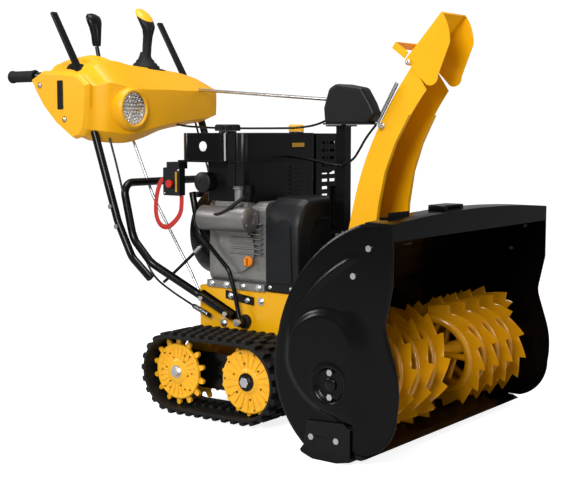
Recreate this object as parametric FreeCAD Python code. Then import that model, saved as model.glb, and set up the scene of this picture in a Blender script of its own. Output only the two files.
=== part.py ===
"""Two stage snowblower on rubber tracks, as separate sub-parts.

Millimetres. X runs across the machine (the operator's right is -X), Y runs from
the auger mouth at the front (-Y) to the grips at the rear (+Y), and Z is up from
the ground. The origin is on the ground at the middle of the machine's footprint.
"""
import FreeCAD, Part
import math
import os

V = FreeCAD.Vector
X_AXIS = V(1, 0, 0)
Y_AXIS = V(0, 1, 0)
Z_AXIS = V(0, 0, 1)

# ---- driving dimensions -------------------------------------------------
HOUSING_WIDTH = 762.0        # across the side plates, the clearing width
PLATE_THICK = 4.0
SHEET = 3.0
AUGER_Y = -526.0             # auger shaft axis
AUGER_Z = 176.0
AUGER_RIBBON_R = 138.0
AUGER_SHAFT_R = 13.0
TROUGH_R = 149.5             # inside of the rolled trough sheet
IMPELLER_Z = 205.0           # impeller shaft axis, above the auger's worm wheel
IMPELLER_R = 142.0
IMPELLER_SHAFT_R = 10.0
DRUM_R = 152.0
DRUM_BACK = -292.0
CHUTE_Y = -395.0             # chute turning axis (x = 0)
RING_Z = 466.0               # underside of the chute's ring gear
RING_THICK = 8.0
GEAR_MODULE = 2.5
RING_TEETH = 78
PINION_TEETH = 14
POST_ANGLE = 80.0            # where the pinion stands on the ring, from +X
SPOUT_R = 81.0
CHUTE_HALF = 71.0            # half width of the channel at its foot
CHASSIS_HALF = 125.0
CHASSIS_TOP = 324.0
CHASSIS_REAR = 90.0
TRACK_IN = 131.0
TRACK_OUT = 277.0
REAR_WHEEL = (61.0, 109.0)   # y, z of the drive sprocket
FRONT_WHEEL = (-178.0, 113.0)
WHEEL_R = 88.0
BELT_IN_R = 91.0
BELT_BASE = 8.0
CLEAT_TALL = 10.0
CRANK_Z = 463.0
BELT_PLANE_Y = -200.0        # the auger drive belt's plane
ENGINE_PULLEY_R = 38.0
IMPELLER_PULLEY_R = 92.0
TUBE_R = 11.0                # handle tube
GRIP_X = 250.0
GRIP_Z = 895.0
GRIP_FRONT = 598.0
GRIP_END = 703.0
LEVER_X = 217.0
LEVER_PIVOT = V(0, 440.0, 884.0)
SHIFT_PIVOT = V(-100.0, 462.0, 812.0)
STICK_PIVOT = V(40.0, 448.0, 868.0)
HEIGHT_PIVOT = V(-150.0, -72.0, 240.0)
HOOP_X = 205.0               # hoop legs, inside the handle tubes
HANDLE_X = 229.0

HALF = HOUSING_WIDTH / 2
PINION_DISTANCE = GEAR_MODULE * (RING_TEETH + PINION_TEETH) / 2
POST_X = PINION_DISTANCE * math.cos(math.radians(POST_ANGLE))
POST_Y = CHUTE_Y + PINION_DISTANCE * math.sin(math.radians(POST_ANGLE))
# y and z of the bolts in the side plates
SIDE_BOLTS = [(-627.0, 489.0), (-587.0, 426.0)]
SKID_BOLTS = [(-479.0, 52.0), (-548.0, 52.0)]
BEARING_BOLT_GAP = 28.0
BOLT_HOLE_R = 4.2
BOLT_HEAD_R = 7
SKID_WIDE = 24.0             # width of the runner under the housing
GEAR_CASE_HALF = 30.0
FLIGHT_INNER = 44.0
FLIGHT_OUTER = HALF - 24.0
FLIGHT_TURNS = 2.1           # turns of each ribbon
FLIGHT_THICK = 5.0
RIBBON_DEEP = 52.0
PIN_OFFSET = 12.0            # shear pin from the flight's inner end
SHEAR_PIN_R = 3.0
CHUTE_TOP = 928.0
CHUTE_LEVELS = [474.0, 560.0, 640.0, 710.0, 780.0, 850.0, CHUTE_TOP]
WALL = 2.5                   # sheet of the chute and its hood
LIP_WIDE = 9.0
HOOD_HALF = 58.0
HOOD_HINGE = (-524.0, 905.0) # y, z of the hood's rivets
POST_TOP = 752.0
POST_FOOT = 482.0
HEAD_LOW = POST_TOP + 5.0
ROD_FRONT = V(POST_X, -268.0, 820.0)
ROD_REAR = V(150.0, 345.0, 862.0)
CHASSIS_FRONT = -288.5
CHASSIS_LOW = 62.0
CHASSIS_SHEET = 4.0
AXLE_R = 12.5
PIN_R = 10.0                 # pins of the front track wheels
CLEATS = 36
SHAFT_R = 12.7               # crankshaft
GUARD_SLOTS = 8
CAP_RIBS = 24
# belt cover's front view, x and z
COVER_OUTLINE = [(-135, 326), (-135, 505), (-108, 556), (-80, 571), (62, 571), (100, 540),
                 (122, 470), (122, 400), (96, 326)]
# console's side view, y and z, at each place across it
DASH = {
    -255: [(395, 742), (385, 868), (420, 892), (560, 903), (602, 886), (552, 816), (430, 720)],
    -200: [(355, 735), (346, 872), (402, 920), (560, 928), (600, 890), (545, 800), (430, 713)],
    -120: [(331, 738), (326, 856), (402, 934), (560, 936), (600, 890), (540, 800), (392, 705)],
    0: [(324, 755), (320, 858), (402, 926), (560, 926), (600, 886), (540, 808), (402, 734)],
    120: [(330, 770), (324, 858), (402, 918), (560, 918), (598, 882), (538, 812), (416, 756)],
    238: [(342, 784), (338, 866), (402, 894), (544, 900), (586, 876), (530, 820), (430, 776)],
}
LEVER_SLOT = 14.0
CABLE_R = 3.0
LANYARD_R = 3.0
LANYARD_X = -178.0
LANYARD = [(163.02, 612), (178, 612), (193, 584), (202, 546), (201, 508), (184, 483), (156, 480),
           (128, 500), (110, 521), (106, 545), (106, 567.98)]
HEAD_CABLE = [V(60, 352, 760), V(58, 300, 753), V(56, 190, 748), V(52, 40, 747), V(46, -110, 748),
              V(34, -185, 756), V(22, -246, 776)]
HOOD_CABLE = [V(14, -101, 672), V(10, -150, 669), V(2, -212, 661), V(-8, -262, 654), V(-12, -300, 653)]
HOOD_CABLE_END = [V(-12, -301.5, 653), V(-18, -335, 664), V(-42, -372, 692), V(-66, -410, 728),
                  V(-70, -440, 756)]
HOOD_SPRING = [V(-67, -440, 758), V(-66, -468, 800), V(-65, -500, 862)]
CLUTCH_CABLE = [V(-188, 424, 862), V(-188, 392, 790), V(-188, 338, 640), V(-188, 308, 540), V(-188, 244, 404),
                V(-184, 204, 340), V(-156, 160, 300), V(-141, 102, 268.4)]
ROD_X = -86.0
SHIFT_ROD = [V(ROD_X, 432, 812), V(ROD_X, 372, 705), V(ROD_X, 299, 554), V(ROD_X, 158, 350),
             V(ROD_X, 112, 272)]


# ---- shape helpers ------------------------------------------------------
def box(x0, x1, y0, y1, z0, z1):
    return Part.makeBox(x1 - x0, y1 - y0, z1 - z0, V(x0, y0, z0))


def rod(start, end, radius):
    run = end - start
    return Part.makeCylinder(radius, run.Length, start, run)


def ring(start, end, outer, inner):
    return rod(start, end, outer).cut(rod(start, end, inner))


def fuse(shapes):
    first, *rest = shapes
    whole = first.fuse(rest) if rest else first
    return whole.removeSplitter()


def group(solids):
    return Part.makeCompound(solids)


def mirrored(shape):
    return shape.mirror(V(0, 0, 0), X_AXIS)


def both_sides(shape):
    return group(list(shape.Solids) + list(mirrored(shape).Solids))


def rounded_box(x0, x1, y0, y1, z0, z1, radius, direction=Z_AXIS):
    """A box whose four edges along one direction are rounded."""
    body = box(x0, x1, y0, y1, z0, z1)
    edges = [e for e in body.Edges if abs(e.tangentAt(e.FirstParameter).dot(direction)) > 0.9]
    return body.makeFillet(radius, edges)


def hex_head(centre, direction, across, height):
    """A hexagon bolt head standing on a point."""
    direction = V(direction).normalize()
    side = direction.cross(Z_AXIS if abs(direction.z) < 0.9 else X_AXIS).normalize()
    up = direction.cross(side)
    r = across / math.sqrt(3)
    corners = [centre + side * (r * math.cos(math.radians(a))) + up * (r * math.sin(math.radians(a)))
               for a in range(0, 361, 60)]
    return Part.Face(Part.makePolygon(corners)).extrude(direction * height)


def bolt(head_at, direction, shank_r, head_tall, depth):
    """A hexagon bolt: its head stands out along the direction, its shank goes back."""
    direction = V(direction).normalize()
    head = hex_head(head_at, direction, shank_r * 3.2, head_tall)
    return fuse([head, rod(head_at - direction * depth, head_at, shank_r)])


def outline_face(edges):
    return Part.Face(Part.Wire(Part.__sortEdges__(edges)))


def arc(a, m, b):
    return Part.Arc(a, m, b).toShape()


def line(a, b):
    return Part.LineSegment(a, b).toShape()


def bent_path(points, bends):
    """Straight runs joined by tangent arcs; bends gives each inner point's radius."""
    edges = []
    start = points[0]
    for i in range(1, len(points) - 1):
        before = (points[i - 1] - points[i]).normalize()
        after = (points[i + 1] - points[i]).normalize()
        half_gap = before.getAngle(after) / 2
        trim = bends[i - 1] / math.tan(half_gap)
        enter = points[i] + before * trim
        leave = points[i] + after * trim
        middle = (before + after).normalize()
        top = points[i] + middle * (bends[i - 1] / math.sin(half_gap) - bends[i - 1])
        edges.append(line(start, enter))
        edges.append(arc(enter, top, leave))
        start = leave
    edges.append(line(start, points[-1]))
    return Part.Wire(edges)


def tube(points, bends, radius):
    """A round bar swept along a bent path."""
    path = bent_path(points, bends)
    section = Part.Wire(Part.makeCircle(radius, points[0], points[1] - points[0]))
    return path.makePipeShell([section], True, True)


def spur_gear(centre, teeth, thick, bore_r):
    """Spur gear with straight-flanked teeth, its first tooth towards +X."""
    pitch_r = GEAR_MODULE * teeth / 2
    tip_r = pitch_r + 0.8 * GEAR_MODULE
    root_r = pitch_r - 1.2 * GEAR_MODULE
    step = 2 * math.pi / teeth
    tip_half = 0.11 * step
    root_half = 0.33 * step
    flank = ((-root_half, root_r), (-tip_half, tip_r), (tip_half, tip_r), (root_half, root_r))
    corners = []
    for i in range(teeth):
        for angle, radius in flank:
            a = i * step + angle
            corners.append(centre + V(radius * math.cos(a), radius * math.sin(a), 0))
    corners.append(corners[0])
    blank = Part.Face(Part.makePolygon(corners)).extrude(V(0, 0, thick))
    return blank.cut(rod(centre - Z_AXIS, centre + Z_AXIS * (thick + 1), bore_r))


# ---- auger housing ------------------------------------------------------
def at(y, z, x=0.0):
    return V(x, y, z)


def side_outline(x):
    """Edge of the side plate: flat top, long rear sweep, flat foot, bulged nose."""
    return outline_face([
        line(at(-686, 544, x), at(-606, 541, x)),
        arc(at(-606, 541, x), at(-450, 436, x), at(-376, 281, x)),
        arc(at(-376, 281, x), at(-370, 155, x), at(-448, 28, x)),
        line(at(-448, 28, x), at(-620, 28, x)),
        arc(at(-620, 28, x), at(-673, 60, x), at(-699, 130, x)),
        arc(at(-699, 130, x), at(-703, 178, x), at(-692, 240, x)),
        line(at(-692, 240, x), at(-672, 300, x)),
        arc(at(-672, 300, x), at(-668, 320, x), at(-671, 342, x)),
        line(at(-671, 342, x), at(-686, 410, x)),
        line(at(-686, 410, x), at(-686, 544, x)),
    ])


def trough_solid(inset):
    """Everything inside the rolled trough; inset 0 is the sheet's outer face."""
    r = TROUGH_R + SHEET - inset
    a = math.radians(12)
    back = at(AUGER_Y + r * math.cos(a), AUGER_Z + r * math.sin(a))
    low = math.radians(-45)
    under = at(AUGER_Y + r * math.cos(low), AUGER_Z + r * math.sin(low))
    foot = at(AUGER_Y, AUGER_Z - r)
    crown = at(-606, 538 - inset)
    front = -690.0
    x0 = -HALF + PLATE_THICK
    face = outline_face([
        line(at(front, 538 - inset), crown),
        arc(crown, at(-462 - 0.6 * inset, 428 - 0.8 * inset), back),
        arc(back, under, foot),
        line(foot, at(-600, foot.z)),
        line(at(-600, foot.z), at(front, foot.z)),
        line(at(front, foot.z), at(front, 538 - inset)),
    ])
    face.translate(V(x0, 0, 0))
    return face.extrude(V(HOUSING_WIDTH - 2 * PLATE_THICK, 0, 0))


def auger_housing():
    """Rolled trough, impeller drum, discharge spout and arched top flange in one weldment."""
    outer = trough_solid(0)
    sheet = outer.cut(trough_solid(SHEET))
    sheet = sheet.cut(box(-HALF, HALF, -720, -600, 0, 60))
    sheet = sheet.cut(box(-HALF, HALF, -720, -682, 0, 600))
    drum_centre = V(0, 0, IMPELLER_Z)
    drum = rod(drum_centre + Y_AXIS * -440, drum_centre + Y_AXIS * DRUM_BACK, DRUM_R)
    spout = rod(V(0, CHUTE_Y, 300), V(0, CHUTE_Y, RING_Z - 4), SPOUT_R + SHEET)
    flange = rod(V(0, CHUTE_Y, RING_Z - 5), V(0, CHUTE_Y, RING_Z - 1), PINION_DISTANCE - 24)
    duct = fuse([drum, spout, flange])
    inner_back = drum_centre + Y_AXIS * (DRUM_BACK - SHEET)
    duct = duct.cut(rod(drum_centre + Y_AXIS * -450, inner_back, DRUM_R - SHEET))
    duct = duct.cut(rod(V(0, CHUTE_Y, 290), V(0, CHUTE_Y, RING_Z), SPOUT_R))
    duct = duct.cut(rod(drum_centre + Y_AXIS * -300, drum_centre + Y_AXIS * -280, 20.0))
    duct = duct.cut(outer)
    pocket = rod(V(0, CHUTE_Y, RING_Z - 5), V(0, CHUTE_Y, RING_Z + 60), PINION_DISTANCE - 8).common(outer)
    clear = rod(V(0, CHUTE_Y, RING_Z - 1), V(0, CHUTE_Y, RING_Z + 61), PINION_DISTANCE - 11)
    sheet = fuse([sheet, pocket]).cut(clear)
    mouth = rod(drum_centre + Y_AXIS * -470, drum_centre + Y_AXIS * -360, DRUM_R - SHEET)
    sheet = sheet.cut(mouth)
    return fuse([sheet, duct, top_flange()] + tool_clips())


def top_flange():
    """Arched stiffener along the mouth's top edge."""
    x = HALF - PLATE_THICK
    rise = 15.0
    y0, y1 = -686.0, -612.0
    low, high = 538.0, 544.0
    top = [V(-x, y0, high), V(0, y0, high + rise), V(x, y0, high)]
    skin = outline_face([arc(*top), line(top[2], V(x, y0, low)),
                         arc(V(x, y0, low), V(0, y0, low + rise + 3), V(-x, y0, low)),
                         line(V(-x, y0, low), top[0])]).extrude(V(0, y1 - y0, 0))
    lip = outline_face([arc(*top), line(top[2], V(x, y0, high - 38)),
                        line(V(x, y0, high - 38), V(-x, y0, high - 38)),
                        line(V(-x, y0, high - 38), top[0])]).extrude(V(0, SHEET, 0))
    closing = outline_face([arc(*top), line(top[2], V(x, y0, low - 2)),
                            line(V(x, y0, low - 2), V(-x, y0, low - 2)),
                            line(V(-x, y0, low - 2), top[0])]).extrude(V(0, SHEET, 0))
    closing.translate(V(0, y1 - y0 - SHEET, 0))
    return fuse([skin, lip, closing])


def side_plate():
    """Right side plate with a pressed ring round the shaft's bearing flange."""
    plate = side_outline(-HALF).extrude(V(PLATE_THICK, 0, 0))
    centre = V(-HALF - 2.5, AUGER_Y, AUGER_Z)
    boss = ring(centre, centre + X_AXIS * 3.5, 46, 40)
    bore = rod(V(-HALF - 5, AUGER_Y, AUGER_Z), V(-HALF + 10, AUGER_Y, AUGER_Z), AUGER_SHAFT_R + 6)
    plate = fuse([plate, boss]).cut(bore)
    for y, z in SIDE_BOLTS + SKID_BOLTS:
        plate = plate.cut(rod(V(-HALF - 5, y, z), V(-HALF + 5, y, z), BOLT_HOLE_R))
    for dz in (-BEARING_BOLT_GAP, BEARING_BOLT_GAP):
        z = AUGER_Z + dz
        plate = plate.cut(rod(V(-HALF - 5, AUGER_Y, z), V(-HALF + 5, AUGER_Y, z), BOLT_HOLE_R))
    return plate


def side_bolts():
    """Carriage bolts through the side plates, with their domed heads outside."""
    solids = []
    for y, z in SIDE_BOLTS:
        head = rod(V(-HALF - 4, y, z), V(-HALF, y, z), BOLT_HEAD_R)
        solids.append(fuse([head, rod(V(-HALF, y, z), V(-HALF + 9, y, z), BOLT_HOLE_R)]))
    for dz in (-BEARING_BOLT_GAP, BEARING_BOLT_GAP):
        solids.append(bolt(V(-HALF - 0.01, AUGER_Y, AUGER_Z + dz), V(-1, 0, 0), BOLT_HOLE_R, 5.5, 16))
    for y, z in SKID_BOLTS:
        solids.append(bolt(V(-HALF - 6.01, y, z), V(-1, 0, 0), BOLT_HOLE_R, 4.5, 22))
    return both_sides(group(solids))


def flange_bearings():
    """Flanged bearings inside the side plates, carrying the auger shaft."""
    start = V(-HALF + PLATE_THICK, AUGER_Y, AUGER_Z)
    plate = rod(start, start + X_AXIS * 4, 38)
    body = rod(start + X_AXIS * 4, start + X_AXIS * 16, 24)
    shell = fuse([plate, body]).cut(rod(start - X_AXIS, start + X_AXIS * 17, AUGER_SHAFT_R + 0.06))
    for dz in (-BEARING_BOLT_GAP, BEARING_BOLT_GAP):
        shell = shell.cut(rod(start + V(-1, 0, dz), start + V(17, 0, dz), BOLT_HOLE_R))
    return both_sides(shell)


def scraper_bar():
    """Replaceable steel edge along the foot of the mouth."""
    x = HALF - PLATE_THICK - 1
    corners = [at(-600.5, 26.5), at(-618, 19), at(-606, 14), at(-560, 14), at(-556, 23.4), at(-600.5, 23.4)]
    face = Part.Face(Part.makePolygon(corners + corners[:1]))
    face.translate(V(-x, 0, 0))
    return face.extrude(V(2 * x, 0, 0))


def skid_shoe():
    """Right skid shoe: an upright slotted plate with a turned-up runner."""
    x0, x1 = -HALF - 6, -HALF - 0.01
    upright = outline_face([
        line(at(-583, 8, x0), at(-583, 80, x0)), line(at(-583, 80, x0), at(-565, 94, x0)),
        line(at(-565, 94, x0), at(-466, 88, x0)), line(at(-466, 88, x0), at(-455, 30, x0)),
        line(at(-455, 30, x0), at(-444, 16, x0)), line(at(-444, 16, x0), at(-450, 10, x0)),
        line(at(-450, 10, x0), at(-480, 0, x0)), line(at(-480, 0, x0), at(-545, 0, x0)),
        line(at(-545, 0, x0), at(-583, 8, x0))]).extrude(V(x1 - x0, 0, 0))
    runner = outline_face([
        line(at(-583, 8, x1), at(-545, 0, x1)), line(at(-545, 0, x1), at(-480, 0, x1)),
        line(at(-480, 0, x1), at(-450, 10, x1)), line(at(-450, 10, x1), at(-452, 15, x1)),
        line(at(-452, 15, x1), at(-481, 5, x1)), line(at(-481, 5, x1), at(-544, 5, x1)),
        line(at(-544, 5, x1), at(-582, 13, x1)), line(at(-582, 13, x1), at(-583, 8, x1))])
    shoe = fuse([upright, runner.extrude(V(SKID_WIDE, 0, 0))])
    for y, z in SKID_BOLTS:
        shoe = shoe.cut(rod(V(x0 - 1, y, z), V(x1 + 1, y, z), BOLT_HOLE_R))
    return shoe


def tool_clips():
    """Two clips on the top flange that hold the chute clean-out tool."""
    flat = box(-318, -238, -640, -612, 546, 553)
    tab = box(-318, -238, -640, -634, 553, 563)
    low = rounded_box(-122, -34, -664, -620, 556, 570, 4, Y_AXIS)
    low = low.cut(box(-108, -48, -665, -619, 560.5, 566))
    return [flat, tab, low]


# ---- augers and impeller ------------------------------------------------


def helix_ribbon(x_start, x_end, phase, hand):
    """One helical ribbon round the auger shaft."""
    length = x_end - x_start
    pitch = length / FLIGHT_TURNS
    radius = AUGER_RIBBON_R - RIBBON_DEEP / 2
    path = Part.makeHelix(pitch, length, radius, 0, hand < 0)
    near, far = AUGER_RIBBON_R - RIBBON_DEEP, AUGER_RIBBON_R
    half = FLIGHT_THICK / 2
    corners = [V(near, 0, -half), V(far, 0, -half), V(far, 0, half), V(near, 0, half)]
    section = Part.makePolygon(corners + corners[:1])
    ribbon = Part.Wire(path).makePipeShell([section], True, True)
    ribbon.rotate(V(0, 0, 0), Z_AXIS, phase)
    ribbon.rotate(V(0, 0, 0), Y_AXIS, 90)
    ribbon.translate(V(x_start, AUGER_Y, AUGER_Z))
    return ribbon


def flight_arms(x_start, x_end, phase, hand):
    """Flat arms that tie a ribbon to its hub tube."""
    arms = []
    for f in (0.12, 0.5, 0.88):
        x = x_start + f * (x_end - x_start)
        arm = box(x - 4, x + 4, -13, 13, AUGER_SHAFT_R + 3, AUGER_RIBBON_R - RIBBON_DEEP + 12)
        arm.rotate(V(0, 0, 0), X_AXIS, 180 + phase + hand * 360 * FLIGHT_TURNS * f)
        arm.translate(V(0, AUGER_Y, AUGER_Z))
        arms.append(arm)
    return arms


def auger_flight(x_start, x_end, hand):
    """A hub tube with two ribbons, 180 degrees apart, on their arms."""
    shapes = [rod(V(x_start - 3, AUGER_Y, AUGER_Z), V(x_end + 3, AUGER_Y, AUGER_Z), AUGER_SHAFT_R + 6)]
    for phase in (0, 180):
        shapes.append(helix_ribbon(x_start, x_end, phase, hand))
        shapes += flight_arms(x_start, x_end, phase, hand)
    body = fuse(shapes).cut(auger_core())
    inner_end = min(x_start, x_end, key=abs)
    x = inner_end + math.copysign(PIN_OFFSET, inner_end)
    return body.cut(rod(V(x, AUGER_Y, AUGER_Z - 40), V(x, AUGER_Y, AUGER_Z + 40), SHEAR_PIN_R + 0.05))


def auger_core():
    """Space the cross shaft takes, for boring the flights' hubs."""
    return rod(V(-HALF - 1, AUGER_Y, AUGER_Z), V(HALF + 1, AUGER_Y, AUGER_Z), AUGER_SHAFT_R + 0.01)


def auger_shaft():
    """Cross shaft with the worm wheel keyed on its middle."""
    c = V(0, AUGER_Y, AUGER_Z)
    shaft = rod(c - X_AXIS * (HALF + 1), c + X_AXIS * (HALF + 1), AUGER_SHAFT_R)
    whole = fuse([shaft, rod(c - X_AXIS * 8, c + X_AXIS * 8, 18.0)])
    for side in (-1, 1):
        x = side * (FLIGHT_INNER + PIN_OFFSET)
        whole = whole.cut(rod(V(x, AUGER_Y, AUGER_Z - 40), V(x, AUGER_Y, AUGER_Z + 40), SHEAR_PIN_R + 0.05))
    return whole


def gear_case():
    """Split cast case round the worm wheel and worm, hung on the two shafts."""
    c = V(0, AUGER_Y, AUGER_Z)
    top = V(0, AUGER_Y, IMPELLER_Z)
    outer = fuse([rod(c - X_AXIS * GEAR_CASE_HALF, c + X_AXIS * GEAR_CASE_HALF, 33),
                  rod(top - Y_AXIS * 46, top + Y_AXIS * 62, 24),
                  box(-22, 22, AUGER_Y - 24, AUGER_Y + 24, AUGER_Z, IMPELLER_Z)])
    hollow = fuse([rod(c - X_AXIS * 20, c + X_AXIS * 20, 26), rod(top - Y_AXIS * 40, top + Y_AXIS * 50, 14)])
    case = outer.cut(hollow)
    case = case.cut(rod(c - X_AXIS * 40, c + X_AXIS * 40, AUGER_SHAFT_R + 0.08))
    return case.cut(rod(top + Y_AXIS * 40, top + Y_AXIS * 70, IMPELLER_SHAFT_R + 0.08))


def shear_pins():
    """Soft pins that drive each flight from the shaft and break first."""
    pins = []
    for side in (-1, 1):
        foot = V(side * (FLIGHT_INNER + PIN_OFFSET), AUGER_Y, AUGER_Z - AUGER_SHAFT_R - 12)
        tall = 2 * AUGER_SHAFT_R + 24
        head = rod(foot - Z_AXIS * 2, foot + Z_AXIS * 2, 5.5)
        pins.append(fuse([rod(foot, foot + Z_AXIS * tall, SHEAR_PIN_R), head]))
    return group(pins)


def impeller_shaft():
    """Shaft from the worm gear back to the belt pulley."""
    start = V(0, AUGER_Y - 34, IMPELLER_Z)
    return rod(start, V(0, BELT_PLANE_Y + 22, IMPELLER_Z), IMPELLER_SHAFT_R)


def impeller():
    """Hub with a back disc and four scooped blades."""
    front, back = -362.0, -306.0
    hub = rod(V(0, front, IMPELLER_Z), V(0, back, IMPELLER_Z), 24)
    disc = rod(V(0, back - 4, IMPELLER_Z), V(0, back, IMPELLER_Z), 90)
    shapes = [hub, disc]
    for i in range(4):
        blade = box(-2.5, 2.5, front, back, 18, IMPELLER_R)
        tip = box(-14, 2.5, front, back, IMPELLER_R - 8, IMPELLER_R - 3)
        paddle = fuse([blade, tip])
        paddle.rotate(V(0, 0, 0), Y_AXIS, 45 + 90 * i)
        paddle.translate(V(0, 0, IMPELLER_Z))
        shapes.append(paddle)
    body = fuse(shapes)
    return body.cut(rod(V(0, -400, IMPELLER_Z), V(0, -280, IMPELLER_Z), IMPELLER_SHAFT_R + 0.01))


def pulley(centre, radius, bore_r):
    """Single-groove V-belt pulley with its axis along Y."""
    wide = 11.0
    profile = [V(bore_r, -wide, 0), V(radius, -wide, 0), V(radius, -8, 0), V(radius - 12, -4, 0),
               V(radius - 12, 4, 0), V(radius, 8, 0), V(radius, wide, 0), V(bore_r, wide, 0)]
    body = Part.Face(Part.makePolygon(profile + profile[:1])).revolve(V(0, 0, 0), Y_AXIS, 360)
    body.translate(centre)
    return body


def drive_belt():
    """Auger drive belt round the engine and impeller pulleys, seen along Y as a loop."""
    seat = 9.0
    r1 = ENGINE_PULLEY_R - seat
    r2 = IMPELLER_PULLEY_R - seat
    thick = 9.0
    top = V(0, BELT_PLANE_Y - 3.4, CRANK_Z)
    low = V(0, BELT_PLANE_Y - 3.4, IMPELLER_Z)
    return belt_loop(top, r1 + thick, low, r2 + thick, 6.8).cut(belt_loop(top, r1, low, r2, 6.8))


def belt_loop(c1, r1, c2, r2, wide):
    """Convex hull of two discs one above the other, extruded along Y."""
    gap = c1.z - c2.z
    lean = math.asin((r2 - r1) / gap)
    def rim(c, r, side):
        return V(c.x + side * r * math.cos(lean), c.y, c.z + r * math.sin(lean))
    edges = [arc(rim(c1, r1, -1), c1 + Z_AXIS * r1, rim(c1, r1, 1)), line(rim(c1, r1, 1), rim(c2, r2, 1)),
             arc(rim(c2, r2, 1), c2 - Z_AXIS * r2, rim(c2, r2, -1)), line(rim(c2, r2, -1), rim(c1, r1, -1))]
    return outline_face(edges).extrude(V(0, wide, 0))


def impeller_bearing():
    """Flanged bearing on the drum's back wall."""
    start = V(0, DRUM_BACK + 0.01, IMPELLER_Z)
    body = fuse([rod(start, start + Y_AXIS * 4, 42), rod(start - Y_AXIS * 3, start + Y_AXIS * 16, 20)])
    return body.cut(rod(start - Y_AXIS * 4, start + Y_AXIS * 17, IMPELLER_SHAFT_R + 0.06))


# ---- chute --------------------------------------------------------------
def chute_front(z):
    """Front edge of the channel's walls at a height."""
    return -443 - (z - 474) * 0.10 - max(0.0, z - 560) ** 2 * 0.00118


def chute_rear(z):
    """Rear face of the channel at a height."""
    return -342 - (z - 474) * 0.20 - max(0.0, z - 560) ** 2 * 0.00078


def chute_half(z):
    """Half width of the channel at a height."""
    return CHUTE_HALF - (z - 474) * 0.046


def u_section(z, inner):
    """Channel section at a height: straight walls and a rear wall bulged out between them."""
    shrink = WALL if inner else 0.0
    h = chute_half(z) - shrink
    r = chute_rear(z) - shrink
    f = chute_front(z) - (30.0 if inner else 0.0)
    bulge = 14.0
    edges = [line(V(-h, f, z), V(-h, r - bulge, z)), arc(V(-h, r - bulge, z), V(0, r, z), V(h, r - bulge, z)),
             line(V(h, r - bulge, z), V(h, f, z)), line(V(h, f, z), V(-h, f, z))]
    return Part.Wire(edges)


def chute_channel():
    """Channel that leans forward as it rises, its mouth trimmed to sit inside the hood."""
    inner_levels = [CHUTE_LEVELS[0] - 12] + CHUTE_LEVELS[1:-1] + [CHUTE_TOP + 12]
    outer = Part.makeLoft([u_section(z, False) for z in CHUTE_LEVELS], True)
    inner = Part.makeLoft([u_section(z, True) for z in inner_levels], True)
    mouth = [at(-700, 850), at(-572, 838), at(-536, 892), at(-522, 922), at(-506, 915), at(-490, 905),
             at(-400, 960), at(-700, 960)]
    above = Part.Face(Part.makePolygon(mouth + mouth[:1]))
    above.translate(V(-100, 0, 0))
    channel = outer.cut(inner).cut(above.extrude(V(200, 0, 0)))
    return channel.cut(rod(at(*HOOD_HINGE, -70), at(*HOOD_HINGE, 70), 4.05))


def chute_lips():
    """Out-turned flanges along the channel's front edges."""
    lips = []
    for side in (-1, 1):
        for z0, z1 in zip(CHUTE_LEVELS[:4], CHUTE_LEVELS[1:5]):
            corners = [V(side * (chute_half(z) + out), chute_front(z), z)
                       for z, out in ((z0, -WALL), (z1, -WALL), (z1, LIP_WIDE), (z0, LIP_WIDE))]
            lips.append(Part.Face(Part.makePolygon(corners + corners[:1])).extrude(V(0, WALL, 0)))
    return lips


def chute_ring():
    """Toothed ring plate under the chute, turning on the spout flange."""
    return spur_gear(V(0, CHUTE_Y, RING_Z), RING_TEETH, RING_THICK - 0.01, SPOUT_R - 4)


def hood_outline(x, inset):
    """Side view of the hood; inset moves its rear edge inwards and opens the front and foot."""
    i = inset
    reach = 20.0 if inset else 0.0
    rear_low = at(-514 - i, 912, x)
    rear_mid = at(-546 - 0.8 * i, 947 - 0.6 * i, x)
    tip = at(-612, 1020 - 1.4 * i, x)
    return outline_face([
        arc(rear_low, rear_mid, tip),
        arc(tip, at(-630 - reach, 985, x), at(-635 - reach, 948, x)),
        line(at(-635 - reach, 948, x), at(-604 - reach, 872 - reach, x)),
        arc(at(-604 - reach, 872 - reach, x), at(-590 - reach, 850 - reach, x),
            at(-572, 852 - reach, x)),
        line(at(-572, 852 - reach, x), rear_low if not inset else at(-500, 890, x)),
    ] + ([line(at(-500, 890, x), rear_low)] if inset else []))


def deflector():
    """Sheet metal hood on top of the chute, with its two hinge rivets."""
    solid = hood_outline(-HOOD_HALF, 0).extrude(V(2 * HOOD_HALF, 0, 0))
    hollow = hood_outline(-HOOD_HALF + WALL, WALL).extrude(V(2 * (HOOD_HALF - WALL), 0, 0))
    pins = []
    for side in (-1, 1):
        x = side * HOOD_HALF
        pins.append(rod(at(*HOOD_HINGE, x - side * 9), at(*HOOD_HINGE, x + side * 6), 4))
        pins.append(rod(at(*HOOD_HINGE, x - side * 1), at(*HOOD_HINGE, x + side * 4), 8))
    return fuse([solid.cut(hollow)] + pins)


def hood_handle():
    """Bent strap across the back of the hood for tilting it by hand."""
    wide = 18.0
    thick = 3.0
    reach = 44.0
    along = V(0, 36, 27).normalize()
    side = V(0, -27, 36).normalize()
    def leg(x):
        base = at(-518, 922, x) - side * wide / 2
        corners = [base, base + along * reach, base + along * reach + side * wide, base + side * wide, base]
        return Part.Face(Part.makePolygon(corners)).extrude(V(thick, 0, 0))
    x = HOOD_HALF + 0.01
    left, right = leg(x), leg(-x - thick)
    start = at(-518, 922, -x - thick) + along * reach - side * wide / 2
    corners = [start, start + side * wide, start + side * wide - along * thick, start - along * thick, start]
    bar = Part.Face(Part.makePolygon(corners)).extrude(V(2 * (x + thick), 0, 0))
    return fuse([left, right, bar])


# ---- chute control ------------------------------------------------------


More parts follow.
